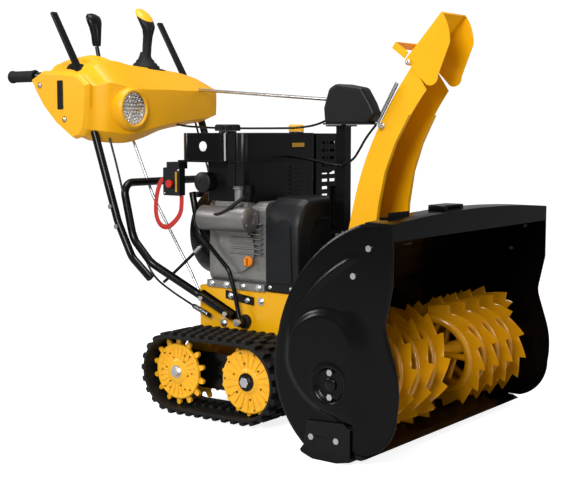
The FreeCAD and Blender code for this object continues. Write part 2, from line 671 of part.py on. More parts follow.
def chute_pinion():
    """Pinion on the vertical shaft that turns the chute's ring."""
    foot = V(POST_X, POST_Y, RING_Z)
    gear = spur_gear(foot, PINION_TEETH, RING_THICK - 0.01, 5.0)
    gear.rotate(foot, Z_AXIS, POST_ANGLE + 180 - 360 / PINION_TEETH * 0.5)
    shaft = rod(foot - Z_AXIS * 3, V(POST_X, POST_Y, POST_TOP + 8), 6.0)
    return fuse([gear, shaft])


def chute_ring_turned():
    """Ring gear turned so that one of its gaps faces the pinion."""
    gear = chute_ring()
    step = 360 / RING_TEETH
    gear.rotate(V(0, CHUTE_Y, 0), Z_AXIS, POST_ANGLE - round(POST_ANGLE / step) * step)
    return gear


def control_post():
    """Square post round the pinion shaft, braced down to the chassis by a flat bracket."""
    half = 14.0
    x, y = POST_X, POST_Y
    outer = box(x - half, x + half, y - half, y + half, POST_FOOT, POST_TOP)
    post = outer.cut(rod(V(x, y, 400), V(x, y, 800), 9.0))
    spacer = box(x - half, x + half, y + half - 1, -256, 500, 590)
    plate = box(x - 26, x + 26, -259, -255, CHASSIS_TOP + 0.01, 600)
    foot = box(x - 26, x + 26, -286, -255, CHASSIS_TOP + 0.01, CHASSIS_TOP + 4)
    shelf = box(x - 24, x + 24, y - 26, y + 40, POST_TOP, POST_TOP + 4)
    whole = fuse([post, spacer, plate, foot, shelf])
    for z in (POST_FOOT, POST_TOP):
        whole = whole.cut(rod(V(x, y, z - 1), V(x, y, z + 5), 6.05))
    return whole


def control_head():
    """Moulded cover over the bevel gears at the top of the post."""
    outline = [at(-250, HEAD_LOW), at(-244, 800), at(-262, 852), at(-285, 862), at(-366, 850), at(-392, 812),
               at(-408, 782), at(-380, HEAD_LOW), at(-250, HEAD_LOW)]
    def hull(x0, x1, shrink):
        centre = V(0, -320, 805)
        pts = [centre + (p - centre) * (1 - shrink / 50.0) for p in outline]
        face = Part.Face(Part.makePolygon(pts))
        face.translate(V(x0, 0, 0))
        return face.extrude(V(x1 - x0, 0, 0))
    def plan(inset):
        corners = [V(x0 + inset, -420, 700), V(14 - inset, -420, 700), V(24 - inset, -328, 700),
                   V(x1 - inset, -312, 700), V(x1 - inset, -240, 700), V(x0 + inset, -240, 700)]
        return Part.Face(Part.makePolygon(corners + corners[:1])).extrude(V(0, 0, 200))
    x0, x1 = POST_X - 44, POST_X + 36
    shell = hull(x0, x1, 0).common(plan(0)).cut(hull(x0, x1, 3.5).common(plan(3)))
    shell = shell.cut(rod(V(POST_X, POST_Y, 740), V(POST_X, POST_Y, 800), 12))
    return shell.cut(rod(ROD_FRONT, ROD_FRONT + (ROD_REAR - ROD_FRONT) * 0.4, 6))


def chute_rod():
    """Long rod from the dash to the bevel gears on the post."""
    run = (ROD_REAR - ROD_FRONT).normalize()
    bar = rod(ROD_FRONT, ROD_REAR, 4.5)
    collar = rod(ROD_FRONT, ROD_FRONT + run * 6, 11)
    return fuse([bar, collar])


# ---- chassis and tracks -------------------------------------------------


def chassis():
    """Folded steel tub that holds the drive, open at the foot."""
    s = CHASSIS_SHEET
    tub = box(-CHASSIS_HALF, CHASSIS_HALF, CHASSIS_FRONT, CHASSIS_REAR, CHASSIS_LOW, CHASSIS_TOP)
    inner = CHASSIS_HALF - s
    tub = tub.cut(box(-inner, inner, CHASSIS_FRONT + s, CHASSIS_REAR - s, CHASSIS_LOW - 1, CHASSIS_TOP - s))
    tub = tub.cut(box(-80, 80, BELT_PLANE_Y - 24, BELT_PLANE_Y + 24, CHASSIS_TOP - 20, CHASSIS_TOP + 1))
    tub = tub.cut(rod(V(0, CHASSIS_FRONT - 1, IMPELLER_Z), V(0, CHASSIS_FRONT + s + 1, IMPELLER_Z), 44))
    y, z = REAR_WHEEL
    tub = tub.cut(rod(V(-130, y, z), V(130, y, z), 24.05))
    y, z = FRONT_WHEEL
    return tub.cut(rod(V(-130, y, z), V(130, y, z), PIN_R + 0.01))


def axle_bearings():
    """Bearings in the chassis walls round the track axle."""
    y, z = REAR_WHEEL
    starts = (-CHASSIS_HALF - 3, CHASSIS_HALF - 7)
    return group([ring(V(x, y, z), V(x + 10, y, z), 24, AXLE_R + 0.06) for x in starts])


def track_axle():
    """Live axle across both tracks, with the hub bolts at its ends."""
    y, z = REAR_WHEEL
    end = fuse([rod(V(251.3, y, z), V(254.5, y, z), 17), hex_head(V(254.5, y, z), X_AXIS, 22, 9)])
    ends = [end, mirrored(end)]
    return fuse([rod(V(-252, y, z), V(252, y, z), AXLE_R)] + ends)


def toothed_plate(x0, x1, centre, inner_r, teeth):
    """Wheel plate with finger teeth that drive the belt's lugs."""
    y, z = centre
    root = WHEEL_R - 15
    body = rod(V(x0, y, z), V(x1, y, z), root)
    fingers = []
    for i in range(teeth):
        finger = box(x0, x1, -5.5, 5.5, root - 8, WHEEL_R - 5.5)
        finger = fuse([finger, rod(V(x0, 0, WHEEL_R - 5.5), V(x1, 0, WHEEL_R - 5.5), 5.5)])
        finger.rotate(V(0, 0, 0), X_AXIS, 360 * (i + 0.5) / teeth)
        finger.translate(V(0, y, z))
        fingers.append(finger)
    return fuse([body] + fingers).cut(rod(V(x0 - 1, y, z), V(x1 + 1, y, z), inner_r))


def track_wheel(centre, face_r, bore_r):
    """Wheel on the left side: two toothed plates on a hub, with a dished outer face."""
    y, z = centre
    hub = rod(V(152, y, z), V(250, y, z), 28)
    face = rod(V(246, y, z), V(251, y, z), face_r)
    plates = [toothed_plate(158, 165, centre, 5, 10), toothed_plate(236, 246, centre, 5, 10)]
    return fuse([hub, face] + plates).cut(rod(V(140, y, z), V(260, y, z), bore_r))


def drive_sprockets():
    """Rear track wheels, driven by the axle."""
    return both_sides(track_wheel(REAR_WHEEL, 76.0, AXLE_R + 0.01))


def idler_pins():
    """Fixed pins in the chassis that the front wheels turn on, with their heads outside."""
    y, z = FRONT_WHEEL
    pin = fuse([rod(V(CHASSIS_HALF - 6, y, z), V(252, y, z), PIN_R), rod(V(252, y, z), V(256, y, z), 20),
                hex_head(V(256, y, z), X_AXIS, 24, 9)])
    return both_sides(pin)


def track_frames():
    """Plates between each track's wheels, carried on a cross stub from the chassis."""
    plate = rounded_box(197, 203, FRONT_WHEEL[0] - 34, REAR_WHEEL[0] + 34, 66, 162, 20, X_AXIS)
    for y, z in (REAR_WHEEL, FRONT_WHEEL):
        plate = plate.cut(rod(V(190, y, z), V(210, y, z), 31))
    stub = rod(V(CHASSIS_HALF + 0.01, -58, 116), V(200, -58, 116), 16)
    return both_sides(fuse([plate, stub]))


def loop_points(r):
    """Corner points of a track loop of a given radius round both wheels."""
    yr, zr = REAR_WHEEL
    yf, zf = FRONT_WHEEL
    tilt = math.atan2(zr - zf, yr - yf)
    nx, nz = -math.sin(tilt), math.cos(tilt)
    return [at(yr + r * nx, zr + r * nz), at(yr - r * nx, zr - r * nz),
            at(yf - r * nx, zf - r * nz), at(yf + r * nx, zf + r * nz)]


def loop_face(r, x):
    """Side view of a track loop of a given radius."""
    rear_top, rear_low, front_low, front_top = loop_points(r)
    yr, zr = REAR_WHEEL
    yf, zf = FRONT_WHEEL
    edges = [arc(rear_top, at(yr + r, zr), rear_low), line(rear_low, front_low),
             arc(front_low, at(yf - r, zf), front_top), line(front_top, rear_top)]
    face = outline_face(edges)
    face.translate(V(x, 0, 0))
    return face


def cleat_places(r):
    """Evenly spaced points round the loop, each with its outward angle about X."""
    yr, zr = REAR_WHEEL
    yf, zf = FRONT_WHEEL
    span = math.hypot(yr - yf, zr - zf)
    tilt = math.atan2(zr - zf, yr - yf)
    half_turn = math.pi * r
    total = 2 * span + 2 * half_turn
    along = V(0, math.cos(tilt), math.sin(tilt))
    out = V(0, -math.sin(tilt), math.cos(tilt))
    places = []
    for i in range(CLEATS):
        s = total * (i + 0.25) / CLEATS
        if s < span:
            places.append((at(yf, zf) + along * s + out * r, 0.0))
        elif s < span + half_turn:
            a = (s - span) / r
            places.append((at(yr, zr) + (along * math.sin(a) + out * math.cos(a)) * r, -a))
        elif s < 2 * span + half_turn:
            s -= span + half_turn
            places.append((at(yr, zr) - along * s - out * r, math.pi))
        else:
            a = (s - 2 * span - half_turn) / r
            places.append((at(yf, zf) - (along * math.sin(a) + out * math.cos(a)) * r, math.pi - a))
    return [(p, a + tilt) for p, a in places]


def track_belts():
    """Endless rubber tracks with cleats across them."""
    belt_r = BELT_IN_R + BELT_BASE
    wide = TRACK_OUT - TRACK_IN
    belt = loop_face(belt_r, TRACK_IN).extrude(V(wide, 0, 0))
    belt = belt.cut(loop_face(BELT_IN_R, TRACK_IN - 1).extrude(V(wide + 2, 0, 0)))
    cleats = []
    profile = [V(TRACK_IN, -7, -2), V(TRACK_IN, 7, -2), V(TRACK_IN, 4.5, CLEAT_TALL),
               V(TRACK_IN, -4.5, CLEAT_TALL)]
    for place, angle in cleat_places(belt_r):
        bar = Part.Face(Part.makePolygon(profile + profile[:1])).extrude(V(wide, 0, 0))
        bar.rotate(V(0, 0, 0), X_AXIS, math.degrees(angle))
        bar.translate(place)
        cleats.append(bar)
    return both_sides(fuse([belt] + cleats))


# ---- engine -------------------------------------------------------------
def engine_block():
    """Cast crankcase with its mounting flange and shaft boss."""
    case = rounded_box(-120, 112, -135, 58, 338, 556, 22, Y_AXIS)
    flange = box(-132, 122, -139, 58, CHASSIS_TOP + 0.01, 342)
    boss = rod(V(0, -143, CRANK_Z), V(0, -130, CRANK_Z), 60)
    cheek = rod(V(-128, -40, 430), V(-110, -40, 430), 62)
    head = box(-140, -110, -90, 20, 470, 556)
    whole = fuse([case, flange, boss, cheek, head])
    return whole.cut(rod(V(0, -150, CRANK_Z), V(0, -90, CRANK_Z), SHAFT_R + 0.06))


def recoil_housing():
    """Fan and pull-start cover at the back of the engine."""
    drum = rod(V(0, 58.01, CRANK_Z), V(0, 128, CRANK_Z), 122)
    cap = rod(V(0, 128, CRANK_Z), V(0, 150, CRANK_Z), 84)
    return fuse([drum, cap])


def starter_motor():
    """Electric starter beside the crankcase."""
    body = rod(V(-160, -112, 512), V(-160, 44, 512), 33)
    return body.cut(box(-140.5, -100, -113, 45, 460, 560))


def fuel_tank():
    """Tank on top of the engine, with its seam lip and filler neck."""
    tank = rounded_box(-165, 147, -42, 123, 663, 735, 26)
    lip = box(-169, 149.5, -43, 127, 658, 663)
    neck = rod(V(-60, 44, 735), V(-60, 44, 740), 24)
    return fuse([tank, lip, neck])


def engine_shroud():
    """Moulded cooling shroud with the cover in front of the tank."""
    lower = rounded_box(-139, 148, -100, 56, 557, 657.5, 18)
    upper = rounded_box(-165, 150, -100, -60, 600, 735, 18)
    upper = fuse([upper, box(-165, 150, -70, -44, 600, 657.5), box(-165, 150, -70, -44.5, 664, 735)])
    intake = rod(V(-172, 38, 606), V(-139, 38, 606), 26)
    knob_seat = rod(V(95, -72, 735), V(95, -72, 738), 20)
    return fuse([lower, upper, intake, knob_seat])


def muffler():
    """Silencer can inside its guard."""
    return rounded_box(160, 252, -90, 52, 622, 723, 22, Y_AXIS)


def muffler_guard():
    """Slotted sheet guard round the muffler."""
    guard = box(150.01, 262, -100, 60, 540, 733).cut(box(153, 259, -97, 61, 500, 730))
    guard = guard.cut(box(255, 270, -90, 61, 548, 722))
    slot = 8.0
    for i in range(GUARD_SLOTS):
        z = 556 + 21 * i
        for x in (178, 214):
            guard = guard.cut(box(x, x + 28, -101, -96, z, z + slot))
    return guard


def ignition_box():
    """Switch box on the operator's side, with a bore for the button."""
    body = rounded_box(-189, -167, 103, 163, 568, 643, 4, X_AXIS)
    arm = box(-189, -155, 105, 150, 640, 657.9)
    bore = rod(V(-195, 133, 600), V(-173, 133, 600), 8.3)
    return fuse([body, arm]).cut(bore)


def stop_button():
    """Red mushroom stop button in the ignition box."""
    stem = rod(V(-197, 133, 600), V(-181, 133, 600), 8)
    return fuse([stem, rod(V(-201, 133, 600), V(-196, 133, 600), 10.5)])


def fuel_cap():
    """Fuel cap with grip ribs round its edge."""
    cap = rod(V(-60, 44, 740.3), V(-60, 44, 758), 33)
    ribs = []
    for i in range(CAP_RIBS):
        rib = box(-2, 2, 32, 35, 742, 756)
        rib.rotate(V(0, 0, 0), Z_AXIS, 360 * i / CAP_RIBS)
        rib.translate(V(-60, 44, 0))
        ribs.append(rib)
    return fuse([cap] + ribs)


def choke_knob():
    """Knob that turns the choke."""
    knob = rod(V(95, -72, 738.3), V(95, -72, 755), 21)
    return fuse([knob, rod(V(95, -72, 755), V(95, -72, 758), 17)])


def oil_cap():
    """Winged oil filler cap low on the crankcase."""
    c = V(-128.3, -84, 400)
    return fuse([rod(c, c - X_AXIS * 6, 15), box(-144, -134, -95, -73, 396, 404)])


def belt_cover():
    """Moulded cover over the belt and the engine pulley, open at the back."""
    def slab(shrink, y0, y1):
        centre = V(0, 0, 440)
        pts = []
        for x, z in COVER_OUTLINE + COVER_OUTLINE[:1]:
            p = V(x, 0, z) - centre
            pts.append(centre + p * (1 - shrink / 110.0))
        face = Part.Face(Part.makePolygon(pts))
        face.translate(V(0, y0, 0))
        return face.extrude(V(0, y1 - y0, 0))
    shell = slab(0, -250, -145).cut(slab(3, -247, -140))
    return shell.cut(box(-90, 90, -240, -150, 320, 334))


# ---- handles and controls -----------------------------------------------
def handle_hoop():
    """One tube from the right of the chassis up, across and down to the left."""
    side = [V(-137, -34, 250), V(-137, 82, 298), V(-HOOP_X, 196, 384), V(-HOOP_X, 262, 446),
            V(-HOOP_X, 300, 598)]
    points = side + [V(-p.x, p.y, p.z) for p in reversed(side)]
    return tube(points, [60, 60, 70, 38, 38, 70, 60, 60], TUBE_R)


def handle_tube(radius):
    """Right handle tube, from the hoop's elbow to the grip."""
    x = -HANDLE_X
    points = [V(x, 176, 346), V(x, 244, 398), V(x, 296, 492), V(x, 430, 868), V(-GRIP_X, 520, GRIP_Z),
              V(-GRIP_X, GRIP_END - 9, GRIP_Z)]
    return tube(points, [60, 110, 60, 60], radius)


def grips():
    """Ribbed rubber grips with end flanges."""
    start, end = V(-GRIP_X, GRIP_FRONT, GRIP_Z), V(-GRIP_X, GRIP_END, GRIP_Z)
    shapes = [rod(start, end, 15), rod(end - Y_AXIS * 9, end, 18), rod(start, start + Y_AXIS * 5, 18)]
    for i in range(6):
        y = GRIP_FRONT + 16 + i * 13
        shapes.append(rod(V(-GRIP_X, y, GRIP_Z), V(-GRIP_X, y + 4, GRIP_Z), 16.2))
    return both_sides(fuse(shapes).cut(rod(start - Y_AXIS, end - Y_AXIS * 8.99, TUBE_R + 0.01)))


def dash_solid(shrink):
    """The console's outer form, or the form inside its wall."""
    wires = []
    for x in sorted(DASH):
        pts = [V(x, y, z) for y, z in DASH[x]]
        centre = V(x, sum(p.y for p in pts) / len(pts), sum(p.z for p in pts) / len(pts))
        if shrink and x == min(DASH):
            centre.x += shrink
        if shrink and x == max(DASH):
            centre.x -= shrink
        across = 1 - shrink / 95
        upright = 1 - shrink / 80
        pts = [V(centre.x, centre.y + (p.y - centre.y) * across, centre.z + (p.z - centre.z) * upright)
               for p in pts]
        wires.append(Part.makePolygon(pts + pts[:1]))
    return Part.makeLoft(wires, True, True)


def dash_panel():
    """Hollow moulded console between the handles, open underneath at the back."""
    shell = dash_solid(0).cut(dash_solid(3.0))
    shell = shell.cut(box(-246, 229, 455, 640, 680, 850))
    passage = handle_tube(TUBE_R + 4)
    for side in (-1, 1):
        x = side * LEVER_X
        shell = shell.cut(box(x - LEVER_SLOT, x + LEVER_SLOT, 415, 640, 860, 960))
        shell = shell.cut(passage if side < 0 else mirrored(passage))
        shell = shell.cut(rod(V(side * GRIP_X, 590, GRIP_Z), V(side * GRIP_X, 640, GRIP_Z), 21))
        upper, lower = CLUTCH_CABLE[1:3]
        shell = shell.cut(rod(V(-side * upper.x, upper.y, upper.z), V(-side * lower.x, lower.y, lower.z), 5))
    shell = shell.cut(rod(HEAD_CABLE[1], HEAD_CABLE[0] + (HEAD_CABLE[0] - HEAD_CABLE[1]), 5))
    shell = shell.cut(box(SHIFT_PIVOT.x - 9, SHIFT_PIVOT.x + 9, 424, 560, 880, 960))
    shell = shell.cut(box(ROD_X - 9, ROD_X + 9, 320, 455, 690, 800))
    shell = shell.cut(rod(V(STICK_PIVOT.x, STICK_PIVOT.y, 880), V(STICK_PIVOT.x, STICK_PIVOT.y, 960), 46))
    shell = shell.cut(rod(ROD_FRONT, ROD_REAR + (ROD_REAR - ROD_FRONT) * 0.2, 8))
    lamp = rod(V(-140, 260, 802), V(-140, 352, 802), 35)
    return max(shell.cut(lamp).Solids, key=lambda s: s.Volume)


def headlight():
    """Lamp body with its bezel and lens, set into the front of the dash."""
    bezel = ring(V(-140, 322, 802), V(-140, 352, 802), 34.5, 30)
    cup = rod(V(-140, 328, 802), V(-140, 352, 802), 30)
    return fuse([bezel, cup])


def clutch_lever(side):
    """Flat bar squeezed down to the grip; it turns on a pin under the dash."""
    p = LEVER_PIVOT
    tip = V(0, 556, 1074)
    run = (tip - p).normalize()
    across = V(0, -run.z, run.y)
    base = p - run * 4
    corners = [base - across * 5.5, tip - across * 4.5, tip + across * 4.5, base + across * 5.5]
    bar = Part.Face(Part.makePolygon(corners + corners[:1])).extrude(V(21, 0, 0))
    bar.translate(V(side * LEVER_X - 10.5, 0, 0))
    eye = rod(V(side * LEVER_X - 10.5, p.y, p.z), V(side * LEVER_X + 10.5, p.y, p.z), 10)
    hole = rod(V(side * LEVER_X - 20, p.y, p.z), V(side * LEVER_X + 20, p.y, p.z), 4.06)
    return fuse([bar, eye]).cut(hole)


def shift_lever():
    """Gear lever with a flared knob; it turns on a pin low in the dash."""
    p = SHIFT_PIVOT
    neck = V(p.x, 505, 982)
    top = V(p.x, 508, 1050)
    shapes = [rod(p, neck, 6), rod(V(p.x - 8, p.y, p.z), V(p.x + 8, p.y, p.z), 12), rod(neck, top, 8)]
    knob = Part.makeLoft([knob_wire(neck, 13, 10), knob_wire(V(p.x, 507, 1014), 17, 14),
                          knob_wire(V(p.x, 512, 1052), 27, 19), knob_wire(V(p.x, 513, 1062), 24, 15)], True)
    return fuse(shapes + [knob]).cut(rod(V(p.x - 20, p.y, p.z), V(p.x + 20, p.y, p.z), 5.06))


def knob_wire(centre, half_x, half_y):
    """Elliptical section of a knob."""
    return Part.Wire(Part.Ellipse(centre, max(half_x, half_y), min(half_x, half_y)).toShape())


def joystick_gimbal():
    """Ring that tilts from side to side and carries the joystick's own pin."""
    c = STICK_PIVOT
    shapes = [ring(c - Z_AXIS * 6, c + Z_AXIS * 6, 26, 20)]
    shapes.append(rod(c + V(0, 23, 0), c + V(0, 40, 0), 4))
    shapes.append(rod(c - V(0, 23, 0), c - V(0, 40, 0), 4))
    body = fuse(shapes)
    return body.cut(rod(c - X_AXIS * 30, c + X_AXIS * 30, 3.06))


def joystick():
    """Curved stalk with a rounded head, steering the chute and its hood."""
    c = STICK_PIVOT
    stalk = tube([c, V(c.x, c.y - 4, 940), V(c.x, c.y - 8, 1050)], [200], 11)
    head = Part.makeSphere(25, V(c.x, c.y + 2, 1062))
    pin = rod(c - X_AXIS * 28, c + X_AXIS * 28, 3)
    ball = Part.makeSphere(15, c)
    return fuse([stalk, head, ball, pin])


def height_lever():
    """Bent lever beside the engine that sets the tracks' height."""
    p = HEIGHT_PIVOT
    points = [V(p.x, 92, 572), V(p.x, 68, 466), V(p.x, -34, 376), V(p.x, -52, 326), p]
    bar = tube(points, [50, 36, 60], 6)
    grip = rod(V(p.x, 93, 577), V(p.x, 73, 488), 9)
    eye = rod(p - X_AXIS * 8, p + X_AXIS * 8, 12)
    return fuse([bar, grip, eye]).cut(rod(p - X_AXIS * 20, p + X_AXIS * 20, 7.06))


def height_pin():
    """Shouldered bolt in the chassis side that the height lever turns on."""
    p = HEIGHT_PIVOT
    foot = V(-CHASSIS_HALF - 0.01, p.y, p.z)
    end = p - X_AXIS * 8.4
    return fuse([rod(foot, foot - X_AXIS * 12, 17), rod(foot, end, 7), hex_head(end, V(-1, 0, 0), 19, 8)])


def dash_pins():
    """Pins under the dash that the clutch levers and the gear lever turn on."""
    solids = []
    for x in (-LEVER_X, LEVER_X):
        centre = LEVER_PIVOT + X_AXIS * x
        solids.append(rod(centre - X_AXIS * 13, centre + X_AXIS * 13, 4))
    p = SHIFT_PIVOT
    solids.append(rod(V(p.x - 14, p.y, p.z), V(p.x + 14, p.y, p.z), 5))
    return solids


def handle_bolts():
    """Bolts that clamp the handles to the hoop and the hoop to the chassis."""
    solids = []
    for y, z in ((311, 534), (289, 480)):
        solids.append(bolt(V(-241, y, z), V(-1, 0, 0), 4, 5, 0.9))
    for y, z in ((66, 291), (-20, 257)):
        solids.append(bolt(V(-149, y, z), V(-1, 0, 0), 4, 5, 0.9))
    return [s for bolt_pair in solids for s in (bolt_pair, mirrored(bolt_pair))]


# ---- cables and the lanyard ---------------------------------------------


def cord_radii(points):
    """Largest tangent arc at each inner point: 0.45 of the shorter run over tan(half turn)."""
    radii = []
    for before, here, after in zip(points, points[1:], points[2:]):
        a = here - before
        b = after - here
        radii.append(0.45 * min(a.Length, b.Length) / math.tan(a.getAngle(b) / 2))
    return radii


def cord_tube(name, points, radius):
    """A cable along its route; prints its bends, length and volume check."""
    radii = cord_radii(points)
    solid = tube(points, radii, radius)
    length = bent_path(points, radii).Length
    print(name, "radii", [round(r) for r in radii], "length", round(length),
          "volume ratio", round(solid.Volume / (math.pi * radius ** 2 * length), 4))
    return solid


def lanyard():
    """Webbing loop of the safety key, hung from the ignition box."""
    return cord_tube("lanyard", [at(y, z, LANYARD_X) for y, z in LANYARD], LANYARD_R)


def chute_cables():
    """Two cables clipped between the dash, the engine and the chute's control post."""
    return group([cord_tube("head cable", HEAD_CABLE, CABLE_R), cord_tube("hood cable", HOOD_CABLE, CABLE_R)])


def hood_cable_end():
    """Last free length of the hood's cable, between the post and the chute."""
    return cord_tube("hood cable end", HOOD_CABLE_END, CABLE_R)


def hood_spring():
    """Return spring on the cable beside the chute."""
    return cord_tube("hood spring", HOOD_SPRING, 5.0)


def clutch_cables():
    """Cables from the clutch levers down the handles, each ending in a spring at the chassis."""
    cable = cord_tube("clutch cable", CLUTCH_CABLE, CABLE_R)
    spring = rod(V(-141, 100, 267.6), V(-141, 40, 246), 6)
    return both_sides(group([cable, spring]))


def shift_rod():
    """Rod from the gear lever down to the transmission."""
    return tube(SHIFT_ROD, [120, 300, 300], 4)


def bearings():
    """Flanged bearings of the auger shaft, the impeller shaft and the track axle."""
    return group(flange_bearings().Solids + [impeller_bearing()] + axle_bearings().Solids)


def engine_pulley():
    """Crankshaft end with the auger belt's pulley."""
    hub = pulley(V(0, BELT_PLANE_Y, CRANK_Z), ENGINE_PULLEY_R, SHAFT_R)
    return fuse([hub, rod(V(0, -96, CRANK_Z), V(0, BELT_PLANE_Y - 14, CRANK_Z), SHAFT_R)])


def impeller_pulley():
    """Large pulley on the impeller shaft."""
    return pulley(V(0, BELT_PLANE_Y, IMPELLER_Z), IMPELLER_PULLEY_R, IMPELLER_SHAFT_R + 0.01)


def fasteners():
    """Bolts and pins that stay with the machine."""
    return group(side_bolts().Solids + dash_pins() + handle_bolts() + [height_pin()])


def write(name, shape):
    """Saves one sub-part and prints its volume."""
    shape.exportStep("parts/" + name + ".step")
    volume = sum(s.Volume for s in shape.Solids)
    print(name, len(shape.Solids), "solids", round(volume), "mm3", "valid" if shape.isValid() else "INVALID")


def main():
    os.makedirs("parts", exist_ok=True)
    write("auger_housing", auger_housing())
    write("side_plates", both_sides(side_plate()))
    write("fasteners", fasteners())
    write("bearings", bearings())
    write("scraper_bar", scraper_bar())
    write("skid_shoes", both_sides(skid_shoe()))
    write("gear_case", gear_case())
    write("auger_shaft", auger_shaft())
    write("auger_flight_right", auger_flight(-FLIGHT_OUTER, -FLIGHT_INNER, -1))
    write("auger_flight_left", auger_flight(FLIGHT_INNER, FLIGHT_OUTER, 1))
    write("shear_pins", shear_pins())
    write("impeller_shaft", impeller_shaft())
    write("impeller", impeller())
    write("impeller_pulley", impeller_pulley())
    write("engine_pulley", engine_pulley())
    write("drive_belt", drive_belt())
    write("chute_channel", fuse([chute_channel()] + chute_lips()))
    write("chute_ring", chute_ring_turned())
    write("deflector", deflector())
    write("hood_handle", hood_handle())
    write("hood_spring", hood_spring())
    write("hood_cable_end", hood_cable_end())
    write("chute_cables", chute_cables())
    write("chute_pinion", chute_pinion())
    write("control_post", control_post())
    write("control_head", control_head())
    write("chute_rod", chute_rod())
    write("chassis", chassis())
    write("track_axle", track_axle())
    write("drive_sprockets", drive_sprockets())
    write("idler_wheels", both_sides(track_wheel(FRONT_WHEEL, 86.0, PIN_R + 0.06)))
    write("idler_pins", idler_pins())
    write("track_frames", track_frames())
    write("track_belts", track_belts())
    write("engine_block", engine_block())
    write("recoil_housing", recoil_housing())
    write("starter_motor", starter_motor())
    write("fuel_tank", fuel_tank())
    write("engine_shroud", engine_shroud())
    write("muffler", group([muffler(), muffler_guard()]))
    write("ignition_box", ignition_box())
    write("belt_cover", belt_cover())
    write("stop_button", stop_button())
    write("fuel_cap", fuel_cap())
    write("choke_knob", choke_knob())
    write("oil_cap", oil_cap())
    write("handle_hoop", handle_hoop())
    write("upper_handles", both_sides(handle_tube(TUBE_R)))
    write("grips", grips())
    write("dash_panel", dash_panel())
    write("headlight", headlight())
    write("clutch_lever_right", clutch_lever(-1))
    write("clutch_lever_left", clutch_lever(1))
    write("shift_lever", shift_lever())
    write("shift_rod", shift_rod())
    write("joystick_gimbal", joystick_gimbal())
    write("joystick", joystick())
    write("height_lever", height_lever())
    write("clutch_cables", clutch_cables())
    write("lanyard", lanyard())


main()
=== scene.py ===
"""Looks of the tracked two stage snowblower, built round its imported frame."""
import math

import bpy
from mathutils import Matrix, Vector
from mathutils.bvhtree import BVHTree
from mathutils.geometry import delaunay_2d_cdt


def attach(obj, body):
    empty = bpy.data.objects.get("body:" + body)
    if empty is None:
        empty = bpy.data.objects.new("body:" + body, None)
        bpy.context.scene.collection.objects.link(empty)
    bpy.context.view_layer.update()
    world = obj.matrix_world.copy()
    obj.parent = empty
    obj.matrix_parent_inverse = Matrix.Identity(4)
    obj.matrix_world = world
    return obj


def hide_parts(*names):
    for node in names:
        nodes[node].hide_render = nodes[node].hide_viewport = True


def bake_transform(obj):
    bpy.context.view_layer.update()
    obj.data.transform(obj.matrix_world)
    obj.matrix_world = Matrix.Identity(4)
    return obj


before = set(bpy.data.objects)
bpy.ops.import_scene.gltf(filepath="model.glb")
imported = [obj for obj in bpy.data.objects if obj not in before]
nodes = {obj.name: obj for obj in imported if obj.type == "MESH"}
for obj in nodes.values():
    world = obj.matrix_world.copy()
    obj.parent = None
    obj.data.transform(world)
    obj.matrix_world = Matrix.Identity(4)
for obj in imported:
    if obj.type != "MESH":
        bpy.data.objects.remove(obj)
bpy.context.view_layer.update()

MM = 0.001
TURN = 2 * math.pi


# ---- materials -----------------------------------------------------------
def noise(tree, coords, scale, detail, stretch=None):
    """A noise texture in the object's own metres."""
    tex = tree.nodes.new("ShaderNodeTexNoise")
    tex.inputs["Scale"].default_value = scale
    tex.inputs["Detail"].default_value = detail
    source = coords.outputs["Object"]
    if stretch:
        mapping = tree.nodes.new("ShaderNodeMapping")
        mapping.inputs["Scale"].default_value = stretch
        tree.links.new(source, mapping.inputs["Vector"])
        source = mapping.outputs["Vector"]
    tree.links.new(source, tex.inputs["Vector"])
    return tex


